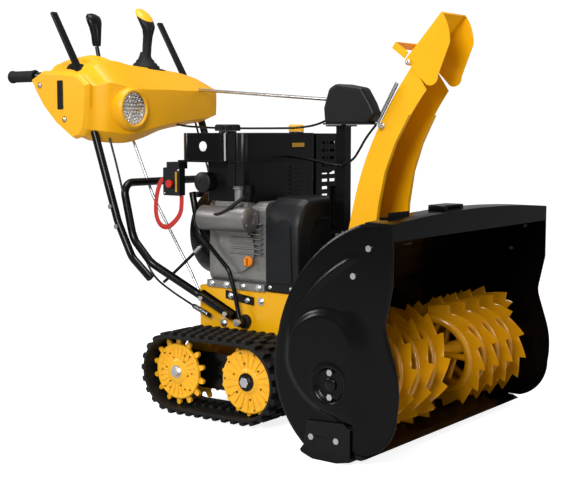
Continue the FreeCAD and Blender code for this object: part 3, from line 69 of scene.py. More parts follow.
def material(name, colour, rough, metal=0.0, coat=0.0, specular=0.5, grain=700.0, bump=0.1, depth=0.2,
             vary=0.07, spread=0.12, stretch=None, dust=None):
    """Procedural finish: colour clouds, uneven roughness and a fine grain."""
    mat = bpy.data.materials.new(name)
    mat.use_nodes = True
    tree = mat.node_tree
    link = tree.links.new
    shader = tree.nodes["Principled BSDF"]
    shader.inputs["Metallic"].default_value = metal
    shader.inputs["Coat Weight"].default_value = coat
    shader.inputs["Coat Roughness"].default_value = 0.12
    shader.inputs["Specular IOR Level"].default_value = specular
    coords = tree.nodes.new("ShaderNodeTexCoord")
    cloud = noise(tree, coords, 11.0, 5.0, stretch)
    fine = noise(tree, coords, grain, 3.0, stretch)
    ramp = tree.nodes.new("ShaderNodeValToRGB")
    low = [c * (1 - vary) for c in colour]
    high = [min(1.0, c * (1 + vary)) for c in colour]
    ramp.color_ramp.elements[0].position = 0.3
    ramp.color_ramp.elements[0].color = low + [1]
    ramp.color_ramp.elements[1].position = 0.7
    ramp.color_ramp.elements[1].color = high + [1]
    link(cloud.outputs["Fac"], ramp.inputs["Fac"])
    colour_out = ramp.outputs["Color"]
    if dust:
        specks = noise(tree, coords, 160.0, 6.0)
        cut = tree.nodes.new("ShaderNodeValToRGB")
        cut.color_ramp.elements[0].position = 0.60
        cut.color_ramp.elements[0].color = (0, 0, 0, 1)
        cut.color_ramp.elements[1].position = 0.74
        cut.color_ramp.elements[1].color = (1, 1, 1, 1)
        link(specks.outputs["Fac"], cut.inputs["Fac"])
        mix = tree.nodes.new("ShaderNodeMix")
        mix.data_type = "RGBA"
        link(cut.outputs["Color"], mix.inputs["Factor"])
        link(colour_out, mix.inputs["A"])
        mix.inputs["B"].default_value = list(dust) + [1]
        colour_out = mix.outputs["Result"]
    link(colour_out, shader.inputs["Base Color"])
    spread_map = tree.nodes.new("ShaderNodeMapRange")
    spread_map.inputs["To Min"].default_value = max(0.02, rough - spread / 2)
    spread_map.inputs["To Max"].default_value = min(1.0, rough + spread / 2)
    link(noise(tree, coords, 45.0, 4.0, stretch).outputs["Fac"], spread_map.inputs["Value"])
    link(spread_map.outputs["Result"], shader.inputs["Roughness"])
    relief = tree.nodes.new("ShaderNodeBump")
    relief.inputs["Strength"].default_value = bump
    relief.inputs["Distance"].default_value = depth * MM
    link(fine.outputs["Fac"], relief.inputs["Height"])
    link(relief.outputs["Normal"], shader.inputs["Normal"])
    return mat


YELLOW = material("yellow_paint", [0.86, 0.415, 0.0012], 0.33, coat=0.15, specular=0.35, grain=420,
                  bump=0.08, vary=0.05)
AUGER = material("auger_paint", [0.60, 0.262, 0.002], 0.22, coat=0.5, grain=300, bump=0.12, vary=0.14)
DASH_YELLOW = material("yellow_plastic", [0.85, 0.40, 0.001], 0.40, specular=0.35, grain=900, bump=0.08,
                       vary=0.03)
BLACK_PAINT = material("black_paint", [0.002, 0.002, 0.0022], 0.24, specular=0.22, coat=0.04, grain=500,
                       bump=0.08)
PLATE_BLACK = material("gloss_black", [0.0008, 0.0008, 0.001], 0.24, specular=0.16, coat=0.03, grain=200,
                       bump=0.02)
PLASTIC = material("black_plastic", [0.006, 0.0065, 0.0075], 0.42, specular=0.24, grain=1100, bump=0.22,
                   vary=0.12)
SHROUD = material("shroud_plastic", [0.003, 0.003, 0.0034], 0.30, specular=0.22, grain=1000, bump=0.16,
                  vary=0.14)
TANK = material("tank_gloss", [0.0012, 0.0012, 0.0015], 0.14, specular=0.26, coat=0.05, grain=220,
                bump=0.03)
RUBBER = material("rubber", [0.0060, 0.0058, 0.0056], 0.62, specular=0.25, grain=500, bump=0.5, depth=0.4,
                  vary=0.2,
                  dust=(0.016, 0.015, 0.013))
CAST = material("cast_aluminium", [0.25, 0.245, 0.235], 0.46, metal=0.7, grain=650, bump=0.55, depth=0.5,
                vary=0.2,
                dust=(0.13, 0.12, 0.105))
MACHINED = material("machined_aluminium", [0.20, 0.188, 0.184], 0.42, metal=0.7, grain=300, bump=0.2,
                    vary=0.12)
ZINC = material("zinc", [0.62, 0.62, 0.63], 0.30, metal=1.0, grain=380, bump=0.22, vary=0.12)
STEEL = material("steel", [0.36, 0.36, 0.37], 0.38, metal=1.0, grain=320, bump=0.25, vary=0.14)
IRON = material("cast_iron", [0.035, 0.035, 0.036], 0.6, metal=0.3, grain=520, bump=0.6, depth=0.5)
ORANGE = material("orange_plastic", [0.85, 0.26, 0.01], 0.36, grain=600, bump=0.12, vary=0.05)
CAP_YELLOW = material("cap_yellow", [0.93, 0.46, 0.01], 0.34, grain=600, bump=0.10, vary=0.05)
RED = material("red_plastic", [0.48, 0.012, 0.008], 0.38, grain=600, bump=0.12, vary=0.08)
WEB_RED = material("red_webbing", [0.45, 0.012, 0.006], 0.62, grain=1500, bump=0.8, depth=0.5, vary=0.12)
# Near black: the real colour of the black labels, the spring and the seams, and painted shade in the dash
# slots and the recoil vents.
BLACK_AND_SHADE = material("black_and_painted_shade", [0.004, 0.004, 0.004], 0.7, specular=0.2, grain=800, bump=0.2)
GLASSY = material("reflector", [0.50, 0.48, 0.47], 0.18, metal=0.9, grain=240, bump=0.5, depth=0.6,
                  vary=0.45)
CHIP = material("lamp_chip", [0.62, 0.60, 0.57], 0.10, metal=0.7, grain=300, bump=0.3, depth=0.4, vary=0.5)
# Dark brown, painted shade: it stands in for the shade inside the holes and screw wells of yellow parts.
PAINTED_HOLE_SHADE = material("painted_hole_shade", [0.16, 0.075, 0.004], 0.6, specular=0.2, grain=500, bump=0.1)
WHITE = material("white_label", [0.82, 0.82, 0.80], 0.45, grain=500, bump=0.05, vary=0.02)
GOLD = material("gold_label", [0.55, 0.30, 0.02], 0.35, metal=0.3, grain=500, bump=0.05, vary=0.25)


# ---- mesh helpers --------------------------------------------------------
def make(name, shape, mat, body, bevel=0.0, segments=3, sharp=32.0, stands_for=(), limit=30.0):
    """A mesh object from (points in mm, faces), riding on a CAD body."""
    points, faces = shape
    mesh = bpy.data.meshes.new(name)
    mesh.from_pydata([Vector(p) * MM for p in points], [], faces)
    mesh.validate()
    mesh.update()
    obj = bpy.data.objects.new(name, mesh)
    bpy.context.scene.collection.objects.link(obj)
    mesh.materials.append(mat)
    mesh.polygons.foreach_set("use_smooth", [True] * len(mesh.polygons))
    if bevel:
        edge = obj.modifiers.new("edges", "BEVEL")
        edge.width = bevel * MM
        edge.segments = segments
        edge.limit_method = "ANGLE"
        edge.angle_limit = math.radians(limit)
        edge.harden_normals = True
    else:
        mesh.set_sharp_from_angle(angle=math.radians(sharp))
    if body:
        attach(obj, body)
    if stands_for:
        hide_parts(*stands_for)
    return obj


def join(*shapes):
    """One shape from several."""
    points, faces = [], []
    for p, f in shapes:
        base = len(points)
        points += [tuple(v) for v in p]
        faces += [tuple(i + base for i in face) for face in f]
    return points, faces


def mirror(shape):
    """The shape on the other side of the machine."""
    points, faces = shape
    return [(-p[0], p[1], p[2]) for p in points], [tuple(reversed(f)) for f in faces]


def moved(shape, matrix):
    """The shape after a matrix."""
    return [tuple(matrix @ Vector(p)) for p in shape[0]], shape[1]


def basis(axis):
    """Two unit vectors across an axis."""
    axis = Vector(axis).normalized()
    helper = Vector((0, 0, 1)) if abs(axis.z) < 0.9 else Vector((1, 0, 0))
    side = axis.cross(helper).normalized()
    return axis, side, axis.cross(side)


def lathe(profile, centre, axis, count=40, closed=False):
    """Turns (radius, along) points about an axis; ends at radius 0 are closed by fans."""
    axis, side, up = basis(axis)
    centre = Vector(centre)
    points, faces = [], []
    for r, a in profile:
        for i in range(count):
            t = TURN * i / count
            points.append(centre + axis * a + side * (r * math.cos(t)) + up * (r * math.sin(t)))
    rings = len(profile)
    for k in range(rings if closed else rings - 1):
        for i in range(count):
            j = (i + 1) % count
            n = (k + 1) % rings
            faces.append((k * count + i, k * count + j, n * count + j, n * count + i))
    if not closed:
        faces.append(tuple(reversed(range(count))))
        faces.append(tuple((rings - 1) * count + i for i in range(count)))
    return points, faces


def prism(outline, low, high, axis="X"):
    """Extrudes (u, v) corners from low to high along X (u, v = y, z), Y (x, z) or Z (x, y)."""
    def place(u, v, w):
        """A point of the outline, at w along the axis."""
        return {"X": (w, u, v), "Y": (u, w, v), "Z": (u, v, w)}[axis]
    n = len(outline)
    points = [place(u, v, low) for u, v in outline] + [place(u, v, high) for u, v in outline]
    faces = [tuple(range(n)), tuple(reversed(range(n, 2 * n)))]
    faces += [(i, i + n, (i + 1) % n + n, (i + 1) % n) for i in range(n)]
    area = sum(a[0] * b[1] - b[0] * a[1] for a, b in zip(outline, outline[1:] + outline[:1]))
    flip = (area > 0) != (axis == "Y")
    return points, faces if not flip else [tuple(reversed(f)) for f in faces]


def block(x0, x1, y0, y1, z0, z1):
    """A box between two corners in mm."""
    return prism([(y0, z0), (y1, z0), (y1, z1), (y0, z1)], x0, x1)


def arc_points(a, m, b, count):
    """Points on the circle through three (u, v) points, from a to b."""
    ax, ay = a
    bx, by = m
    cx, cy = b
    d = 2 * (ax * (by - cy) + bx * (cy - ay) + cx * (ay - by))
    ux = ((ax**2 + ay**2) * (by - cy) + (bx**2 + by**2) * (cy - ay) + (cx**2 + cy**2) * (ay - by)) / d
    uy = ((ax**2 + ay**2) * (cx - bx) + (bx**2 + by**2) * (ax - cx) + (cx**2 + cy**2) * (bx - ax)) / d
    r = math.hypot(ax - ux, ay - uy)
    start, middle, end = (math.atan2(q - uy, p - ux) for p, q in (a, m, b))
    sweep = (end - start) % TURN
    if (middle - start) % TURN > sweep:
        sweep -= TURN
    return [(ux + r * math.cos(start + sweep * i / count), uy + r * math.sin(start + sweep * i / count))
            for i in range(count + 1)]


def hex_bolt(centre, direction, across=13.0, tall=5.0, washer=0.0):
    """Hexagon head with a chamfered top and, if asked, a washer under it."""
    centre, axis = Vector(centre), Vector(direction).normalized()
    r = across / math.sqrt(3)
    shapes = []
    if washer:
        shapes.append(lathe([(washer, 0), (washer, 1.4)], centre, axis, 28))
        centre = centre + axis * 1.4
    shapes.append(lathe([(r, 0), (r, tall * 0.8), (r * 0.84, tall), (0.3, tall)], centre, axis, 6))
    return join(*shapes)


def dome_bolt(centre, direction, radius=8.0):
    """A carriage bolt head on a face."""
    profile = [(radius, 0), (radius * 0.97, radius * 0.14), (radius * 0.8, radius * 0.34),
               (radius * 0.45, radius * 0.47), (0.2, radius * 0.5)]
    return lathe(profile, centre, direction, 24)


def curve(name, points, radius, mat, body, order=3, resolution=10, flat=0.0, stands_for=(),
          bevel_res=5):
    """A tube, or a band that is wider than thick, along a smooth NURBS line through control points in mm."""
    data = bpy.data.curves.new(name, "CURVE")
    data.dimensions = "3D"
    data.bevel_depth = radius * MM
    data.extrude = flat * MM
    data.bevel_resolution = bevel_res
    data.resolution_u = resolution
    data.use_fill_caps = True
    spline = data.splines.new("NURBS")
    spline.points.add(len(points) - 1)
    for target, p in zip(spline.points, points):
        target.co = (p[0] * MM, p[1] * MM, p[2] * MM, 1)
    spline.order_u = order
    spline.use_endpoint_u = True
    spline.use_smooth = True
    obj = bpy.data.objects.new(name, data)
    bpy.context.scene.collection.objects.link(obj)
    data.materials.append(mat)
    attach(obj, body)
    if stands_for:
        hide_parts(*stands_for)
    return obj


def hose_mesh(path, radius, sides=16, steps=10):
    """A smooth tube from the first point to the last one, rounding the corners between them."""
    path = [Vector(p) for p in path]
    last = len(path) - 1
    line = [path[0]]
    for i in range(1, last):
        a = path[0] if i == 1 else (path[i - 1] + path[i]) / 2
        c = path[last] if i == last - 1 else (path[i] + path[i + 1]) / 2
        for k in range(1, steps + 1):
            t = k / steps
            line.append(a * (1 - t) ** 2 + path[i] * (2 * t * (1 - t)) + c * t ** 2)
    points, faces = [], []
    side = (line[1] - line[0]).orthogonal()
    for i, p in enumerate(line):
        ahead = (line[min(i + 1, len(line) - 1)] - line[max(i - 1, 0)]).normalized()
        side = (side - ahead * side.dot(ahead)).normalized()
        up = ahead.cross(side)
        for k in range(sides):
            a = TURN * k / sides
            points.append(tuple(p + side * (radius * math.cos(a)) + up * (radius * math.sin(a))))
    for i in range(len(line) - 1):
        for k in range(sides):
            j = (k + 1) % sides
            faces.append((i * sides + k, i * sides + j, (i + 1) * sides + j, (i + 1) * sides + k))
    faces.append(tuple(reversed(range(sides))))
    faces.append(tuple((len(line) - 1) * sides + k for k in range(sides)))
    return points, faces


def coil(name, start, end, radius, wire, turns, mat, body, stands_for=()):
    """A coil spring between two points in mm."""
    start, end = Vector(start), Vector(end)
    axis, side, up = basis(end - start)
    count = int(turns * 10)
    points = []
    for i in range(count + 1):
        t = TURN * turns * i / count
        points.append(start.lerp(end, i / count)
                      + side * (radius * math.cos(t)) + up * (radius * math.sin(t)))
    return curve(name, points, wire, mat, body, order=3, resolution=3, stands_for=stands_for, bevel_res=2)


def finish_node(name, mat, bevel=0.0, segments=2):
    """Gives a CAD node its material and, if asked, softened edges."""
    obj = nodes[name]
    obj.data.materials.clear()
    obj.data.materials.append(mat)
    if bevel:
        weld = obj.modifiers.new("weld", "WELD")
        weld.merge_threshold = 0.02 * MM
        edge = obj.modifiers.new("edges", "BEVEL")
        edge.width = bevel * MM
        edge.segments = segments
        edge.limit_method = "ANGLE"
        edge.angle_limit = math.radians(32)
        edge.harden_normals = True


# ---- carried-over CAD nodes: material, and edge rounding in mm -----------
NODE_FINISHES = (
    (PLATE_BLACK, {"auger_housing": 0.7, "recoil_housing": 5.0}),
    (ZINC, {"fasteners": 0.5, "shear_pins": 0.4, "chute_rod": 0, "track_axle": 0.5,
            "idler_pins": 0.5, "shift_rod": 0}),
    (STEEL, {"bearings": 0.5, "auger_shaft": 0, "impeller_shaft": 0, "chute_pinion": 0}),
    (BLACK_PAINT, {"scraper_bar": 0.6, "skid_shoes": 1.2, "impeller": 0.8, "chute_cables": 0,
                   "control_post": 1.2, "track_frames": 0.8, "muffler": 0.8, "handle_hoop": 0,
                   "upper_handles": 0, "clutch_lever_right": 3.0, "clutch_lever_left": 3.0,
                   "joystick_gimbal": 0.6, "height_lever": 0.8, "clutch_cables": 0}),
    (AUGER, {"gear_case": 2.5}),
    (IRON, {"impeller_pulley": 0.5, "engine_pulley": 0.5}),
    (RUBBER, {"drive_belt": 0.5}),
    (YELLOW, {"chute_channel": 0.7, "deflector": 0.8, "hood_handle": 0.8, "chassis": 1.0}),
    (PLASTIC, {"chute_ring": 0.4, "ignition_box": 1.5}),
    (CAST, {"engine_block": 2.0}),
    (MACHINED, {"starter_motor": 1.5}),
    (TANK, {"fuel_tank": 7.0}),
    (SHROUD, {"engine_shroud": 5.0}),
    (RED, {"stop_button": 1.0}),
)
for mat, bevels in NODE_FINISHES:
    for node, bevel in bevels.items():
        finish_node(node, mat, bevel)

# ---- lanyard -------------------------------------------------------------
LANYARD_X = -178.0
LANYARD = [(163.02, 612), (178, 612), (193, 584), (202, 546), (201, 508), (184, 483), (156, 480),
           (128, 500), (110, 521), (106, 545), (106, 567.98)]
route = curve("lanyard_core", [(LANYARD_X, y, z) for y, z in LANYARD], 1.4, WEB_RED, "machine", flat=5.6,
              stands_for=("lanyard",))


# ---- side plates ---------------------------------------------------------
PLATE_X = 381.0
PLATE_OUTLINE = ([(-686, 544), (-606, 541)] + arc_points((-606, 541), (-450, 436), (-376, 281), 28)[1:]
                 + arc_points((-376, 281), (-370, 155), (-448, 28), 24)[1:] + [(-530, 28), (-620, 28)]
                 + arc_points((-620, 28), (-673, 60), (-699, 130), 12)[1:]
                 + arc_points((-699, 130), (-703, 178), (-692, 240), 8)[1:]
                 + [(-672, 300)] + arc_points((-672, 300), (-668, 320), (-671, 342), 6)[1:] + [(-686, 410)])
AXLE_Y, AXLE_Z = -526.0, 176.0


def segment_distance(p, a, b):
    """Distance in mm from a point to a straight run."""
    ab = (b[0] - a[0], b[1] - a[1])
    t = ((p[0] - a[0]) * ab[0] + (p[1] - a[1]) * ab[1]) / (ab[0] ** 2 + ab[1] ** 2)
    t = max(0.0, min(1.0, t))
    return math.hypot(p[0] - a[0] - t * ab[0], p[1] - a[1] - t * ab[1])


def path_distance(p, path, closed=False):
    """Distance in mm from a point to a path."""
    pairs = zip(path, path[1:] + path[:1] if closed else path[1:])
    return min(segment_distance(p, a, b) for a, b in pairs)


def inside(p, outline):
    """Whether a point lies inside an outline."""
    odd = False
    for (x1, y1), (x2, y2) in zip(outline, outline[1:] + outline[:1]):
        if (y1 > p[1]) != (y2 > p[1]) and p[0] < x1 + (p[1] - y1) * (x2 - x1) / (y2 - y1):
            odd = not odd
    return odd


def smooth(t):
    """Eased step from 0 to 1."""
    t = max(0.0, min(1.0, t))
    return t * t * (3 - 2 * t)


NOSE = (arc_points((-408, 210), (-500, 338), (-612, 262), 30)
        + arc_points((-612, 262), (-619, 180), (-592, 96), 12)[1:]
        + arc_points((-518, 112), (-462, 136), (-408, 210), 16)[:-1])
RIM_CREASE = arc_points((-399, 258), (-483, 392), (-600, 470), 24)


def plate_relief(p):
    """How far the pressed plate stands out from its flat face, in mm."""
    edge = path_distance(p, PLATE_OUTLINE, closed=True)
    height = -2.6 * (1 - smooth(edge / 6.0))
    out = math.hypot(p[0] - AXLE_Y, p[1] - AXLE_Z)
    near = path_distance(p, NOSE, closed=True)
    front = smooth((-540 - p[0]) / 60)
    run = 10 + 30 * front
    if inside(p, NOSE):
        height += 9.0 * smooth(0.5 + near / (2 * run)) * smooth((out - 33) / 8)
    else:
        height += 9.0 * smooth(0.5 - near / (2 * run)) * (1 if p[1] > 98 else smooth((p[1] - 88) / 10))
    crease = path_distance(p, RIM_CREASE)
    fade = smooth((p[0] + 600) / 40) * smooth((-398 - p[0]) / 16)
    height += 3.6 * fade * math.exp(-(crease / 5.5) ** 2)
    height += 2.0 * math.exp(-((out - 45) / 4.5) ** 2)
    return height


def side_plate_mesh():
    """The right side plate: its pressed face, flat back and edges."""
    pitch = 4.0
    points = [Vector(p) for p in PLATE_OUTLINE]
    count = len(points)
    y = -700.0
    while y < -370:
        z = 30.0
        while z < 544:
            if inside((y, z), PLATE_OUTLINE) and path_distance((y, z), PLATE_OUTLINE, closed=True) > 2.5:
                points.append(Vector((y, z)))
            z += pitch
        y += pitch
    edges = [(i, (i + 1) % count) for i in range(count)]
    flat, _, faces, *_ = delaunay_2d_cdt(points, edges, [], 1, 0.01)
    front = [(-PLATE_X - plate_relief(p) + 0.5, p.x, p.y) for p in flat]
    back = [(x + 3.0, y, z) for x, y, z in front]
    n = len(front)
    faces = [tuple(f) for f in faces]
    walls = [(a, b, b + n, a + n) for a, b in [(i, (i + 1) % count) for i in range(count)]]
    near = [tuple(reversed(f)) for f in faces]
    far = [tuple(i + n for i in f) for f in faces]
    return front + back, near + far + walls


plate = side_plate_mesh()
make("side_plate_right", plate, PLATE_BLACK, "machine", sharp=70, stands_for=("side_plates",))
make("side_plate_left", mirror(plate), PLATE_BLACK, "machine", sharp=70, stands_for=("side_plates",))

# ---- augers --------------------------------------------------------------
FLIGHT_IN, FLIGHT_OUT, FLIGHT_TURNS = 44.0, 357.0, 2.1
TEETH = 14


def flight(x0, x1, hand):
    """Two serrated ribbons with a rolled bead along their inner edge, on arms from the hub."""
    shapes = []
    bead = [(11 * math.cos(t), 11 * math.sin(t)) for t in (math.radians(a) for a in range(-60, 241, 30))]
    for phase in (0.0, math.pi):
        steps = int(FLIGHT_TURNS * 168)
        points, faces = [], []
        for i in range(steps + 1):
            f = i / steps
            a = math.pi + phase + hand * TURN * FLIGHT_TURNS * f
            tooth = (f * FLIGHT_TURNS * TEETH) % 1.0
            tip = 127.0 + 19.0 * tooth ** 1.5
            section = ([(tip, 0.8), (126, 2.2), (112, 2.6)]
                       + [(97 + u, v) for v, u in bead]
                       + [(112, -1.6), (126, -1.2)])
            x = x0 + f * (x1 - x0)
            for r, dx in section:
                points.append((x + dx, AXLE_Y - r * math.sin(a), AXLE_Z + r * math.cos(a)))
        n = len(section)
        for i in range(steps):
            for k in range(n):
                j = (k + 1) % n
                quad = (i * n + k, i * n + j, (i + 1) * n + j, (i + 1) * n + k)
                faces.append(quad if hand > 0 else tuple(reversed(quad)))
        faces.append(tuple(range(n)))
        faces.append(tuple(steps * n + k for k in range(n)))
        shapes.append((points, faces))
        for f in (0.12, 0.5, 0.88):
            a = math.pi + phase + hand * TURN * FLIGHT_TURNS * f
            x = x0 + f * (x1 - x0)
            arm = lathe([(9, 17), (7.5, 60), (9, 92)], (x, AXLE_Y, AXLE_Z), (0, -math.sin(a), math.cos(a)),
                        14)
            shapes.append(arm)
    shapes.append(lathe([(19, x0 - 3), (19, x1 + 3)], (0, AXLE_Y, AXLE_Z), (1, 0, 0), 36))
    return join(*shapes)


make("auger_ribbons_right", flight(-FLIGHT_OUT, -FLIGHT_IN, -1), AUGER, "auger", sharp=38,
     stands_for=("auger_flight_right",))
make("auger_ribbons_left", flight(FLIGHT_IN, FLIGHT_OUT, 1), AUGER, "auger", sharp=38,
     stands_for=("auger_flight_left",))

# ---- tracks --------------------------------------------------------------
REAR, FRONT = (61.0, 109.0), (-178.0, 113.0)
TRACK_IN, TRACK_OUT = 131.0, 277.0
SPAN = math.hypot(REAR[0] - FRONT[0], REAR[1] - FRONT[1])
TILT = math.atan2(REAR[1] - FRONT[1], REAR[0] - FRONT[0])


def loop_place(s, r):
    """Point (y, z) at a distance along the loop of radius r, and its outward angle from +Z."""
    half = math.pi * r
    s %= 2 * SPAN + 2 * half
    along = (math.cos(TILT), math.sin(TILT))
    if s < SPAN:
        base, a = (FRONT[0] + along[0] * s, FRONT[1] + along[1] * s), 0.0
    elif s < SPAN + half:
        base, a = REAR, (s - SPAN) / r
    elif s < 2 * SPAN + half:
        s -= SPAN + half
        base, a = (REAR[0] - along[0] * s, REAR[1] - along[1] * s), math.pi
    else:
        base, a = FRONT, math.pi + (s - 2 * SPAN - half) / r
    out = a - TILT
    return (base[0] + r * math.sin(out), base[1] + r * math.cos(out)), out


def loop_length(r):
    """Length of the track's loop at a radius round its wheels."""
    return 2 * SPAN + TURN * r


def lug(s, r, x0, x1, long_base, long_top, tall):
    """A tapered block standing on the loop, outward if tall is positive."""
    (y, z), out = loop_place(s, r)
    along = Vector((0, math.cos(out), -math.sin(out)))
    up = Vector((0, math.sin(out), math.cos(out)))
    foot = Vector((0, y, z)) - up * 1.0 * (1 if tall > 0 else -1)
    inset = 2.0
    points = []
    for h, half, pad in ((0, long_base / 2, 0.0), (1, long_top / 2, inset)):
        for x, d in ((x0 + pad, -half), (x1 - pad, -half), (x1 - pad, half), (x0 + pad, half)):
            points.append(foot + Vector((x, 0, 0)) + along * d + up * (tall * h))
    faces = [(0, 1, 2, 3), (7, 6, 5, 4)] + [(i, i + 4, (i + 1) % 4 + 4, (i + 1) % 4) for i in range(4)]
    return points, faces if tall < 0 else [tuple(reversed(f)) for f in faces]


def track():
    """One rubber track with its outer and inner lugs."""
    count = 150
    shapes = []
    points, faces = [], []
    for i in range(count):
        for r in (91.0, 99.0):
            (y, z), _ = loop_place(loop_length(r) * i / count, r)
            points += [(TRACK_IN, y, z), (TRACK_OUT, y, z)]
    for i in range(count):
        a, b = 4 * i, 4 * ((i + 1) % count)
        faces += [(a, a + 1, b + 1, b), (a + 2, b + 2, b + 3, a + 3), (a, b, b + 2, a + 2),
                  (a + 1, a + 3, b + 3, b + 1)]
    shapes.append((points, faces))
    pitches = 36
    step = loop_length(99.0) / pitches
    for i in range(pitches):
        for k, (x0, x1) in enumerate(((132, 166), (163, 204), (204, 245), (242, 276))):
            shapes.append(lug(step * (i + 0.25 + 0.5 * (k % 2)), 99.0, x0, x1, 18, 12.5, 10.8))
        shapes.append(lug(step * (i + 0.25) * loop_length(91.0) / loop_length(99.0), 91.0, 176, 228, 15, 9,
                          -9.0))
    return join(*shapes)


belt = track()
make("track_left", belt, RUBBER, "machine", bevel=1.6, segments=2, stands_for=("track_belts",))
make("track_right", mirror(belt), RUBBER, "machine", bevel=1.6, segments=2, stands_for=("track_belts",))


def finger_plate(centre, x0, x1, count, root, tip, half, phase=0.5):
    """Plate with round-ended fingers."""
    outline = []
    for i in range(count):
        a = TURN * (i + phase) / count
        lean = math.asin(half / root)
        for r, d in ((root, -lean * 1.25), (root + 4, -lean)):
            outline.append((r * math.cos(a + d), r * math.sin(a + d)))
        for t in range(-90, 91, 30):
            q = math.radians(t)
            u, v = tip - half + half * math.cos(q), half * math.sin(q)
            outline.append((u * math.cos(a) - v * math.sin(a), u * math.sin(a) + v * math.cos(a)))
        for r, d in ((root + 4, lean), (root, lean * 1.25)):
            outline.append((r * math.cos(a + d), r * math.sin(a + d)))
    return prism([(centre[0] + u, centre[1] + v) for u, v in outline], x0, x1)


def wheel(centre, rim, ribs, teeth, holes):
    """Track wheel: two fingered plates, a hub and a ribbed, dished cover, plus brown discs of painted shade
    where the cover has holes.
    """
    at_centre = (0, centre[0], centre[1])
    shapes = [finger_plate(centre, 158, 165, teeth, 71, 89.5, 6.6),
              finger_plate(centre, 236, 245, teeth, 71, 89.5, 6.6),
              lathe([(28, 152), (28, 240)], at_centre, (1, 0, 0), 32)]
    cover = [(rim, 241), (rim, 247), (rim - 1.5, 249.5), (rim - 5, 250.5), (rim - 9, 249),
             (rim - 14, 247.5), (34, 249), (28, 253), (17, 254), (15.5, 251), (12, 250.9)]
    shapes.append(lathe(cover, at_centre, (1, 0, 0), 72))
    for i in range(ribs):
        a = TURN * i / ribs
        rib = prism([(-1.8, 26), (1.8, 26), (1.6, rim - 6), (-1.6, rim - 6)], 246, 250.6)
        shapes.append(moved(rib, Matrix.Translation(at_centre) @ Matrix.Rotation(a, 4, "X")))
    dots = []
    for r, n, size, shift in holes:
        for i in range(n):
            a = TURN * (i + shift) / n
            dots.append(lathe([(size, 247), (size, 251.6), (size * 0.5, 251.7)],
                              (0, centre[0] + r * math.cos(a), centre[1] + r * math.sin(a)), (1, 0, 0), 12))
    return join(*shapes), join(*dots)


rear, rear_dots = wheel(REAR, 74.0, 24, 14, [(38, 6, 2.4, 0.2), (52, 6, 2.2, 0.0), (63, 4, 2.4, 0.5)])
front, front_dots = wheel(FRONT, 83.0, 20, 14, [(46, 6, 2.6, 0.3), (74, 10, 2.4, 0.0)])
for shape, dots, body, stand, tag in ((rear, rear_dots, "drive_axle", "drive_sprockets", "rear"),
                                      (front, front_dots, "idlers", "idler_wheels", "front")):
    make(tag + "_wheel_left", shape, CAP_YELLOW, body, bevel=0.8, segments=2, stands_for=(stand,))
    make(tag + "_wheel_right", mirror(shape), CAP_YELLOW, body, bevel=0.8, segments=2, stands_for=(stand,))
    # The hole discs are painted shade: brown dots where the wheel covers have holes.
    make(tag + "_wheel_holes_left", dots, PAINTED_HOLE_SHADE, body)
    make(tag + "_wheel_holes_right", mirror(dots), PAINTED_HOLE_SHADE, body)
hub_ring = lathe([(23, 251.5), (23, 257), (19, 258), (12, 258)], (0, FRONT[0], FRONT[1]), (1, 0, 0), 36)
make("front_hub_ring_left", hub_ring, BLACK_PAINT, "machine", sharp=40)
make("front_hub_ring_right", mirror(hub_ring), BLACK_PAINT, "machine", sharp=40)
pivot_ring = lathe([(18.5, 125), (18.5, 136.5), (16, 138.2), (11, 138.4)], (0, -72, 240), (-1, 0, 0), 36)
make("height_pivot_ring", pivot_ring, RUBBER, "machine", sharp=40)

# ---- dash ----------------------------------------------------------------
DASH = {
    -264: [(394, 754), (388, 800), (383, 864), (418, 890), (490, 897), (560, 900), (600, 884), (580, 850),
           (552, 812), (500, 764), (436, 724), (410, 731)],
    -252: [(386, 746), (380, 800), (375, 868), (414, 899), (490, 907), (562, 909), (604, 888), (580, 850),
           (551, 810), (498, 760), (432, 718), (404, 725)],
    -234: [(374, 742), (375, 803), (376, 863), (414, 892), (486, 906), (560, 906), (602, 886), (578, 848),
           (548, 806), (496, 762), (434, 722), (400, 726)],
    -206: [(354, 738), (347, 800), (345, 872), (402, 922), (480, 931), (560, 928), (602, 890), (578, 846),
           (545, 800), (494, 752), (428, 713), (388, 711)],
    -140: [(334, 732), (328, 795), (328, 860), (395, 936), (480, 948), (560, 940), (600, 890), (576, 846),
           (540, 800), (480, 750), (405, 708), (362, 706)],
    -80: [(326, 742), (322, 800), (322, 857), (396, 928), (480, 934), (560, 931), (600, 889), (576, 848),
          (540, 803), (480, 758), (400, 722), (352, 718)],
    0: [(323, 758), (319, 805), (320, 858), (402, 923), (480, 923), (560, 923), (600, 886), (576, 850),
        (538, 808), (480, 768), (402, 742), (350, 742)],
    120: [(330, 772), (324, 812), (324, 858), (402, 915), (480, 915), (560, 916), (598, 882), (572, 850),
          (538, 812), (480, 780), (416, 760), (360, 758)],
    200: [(336, 780), (332, 816), (334, 864), (402, 902), (478, 905), (552, 908), (592, 880), (566, 850),
          (534, 816), (480, 788), (424, 770), (368, 768)],
    240: [(344, 788), (342, 820), (342, 862), (402, 890), (476, 894), (544, 896), (584, 876), (560, 850),
          (530, 820), (480, 794), (430, 780), (376, 778)],
}


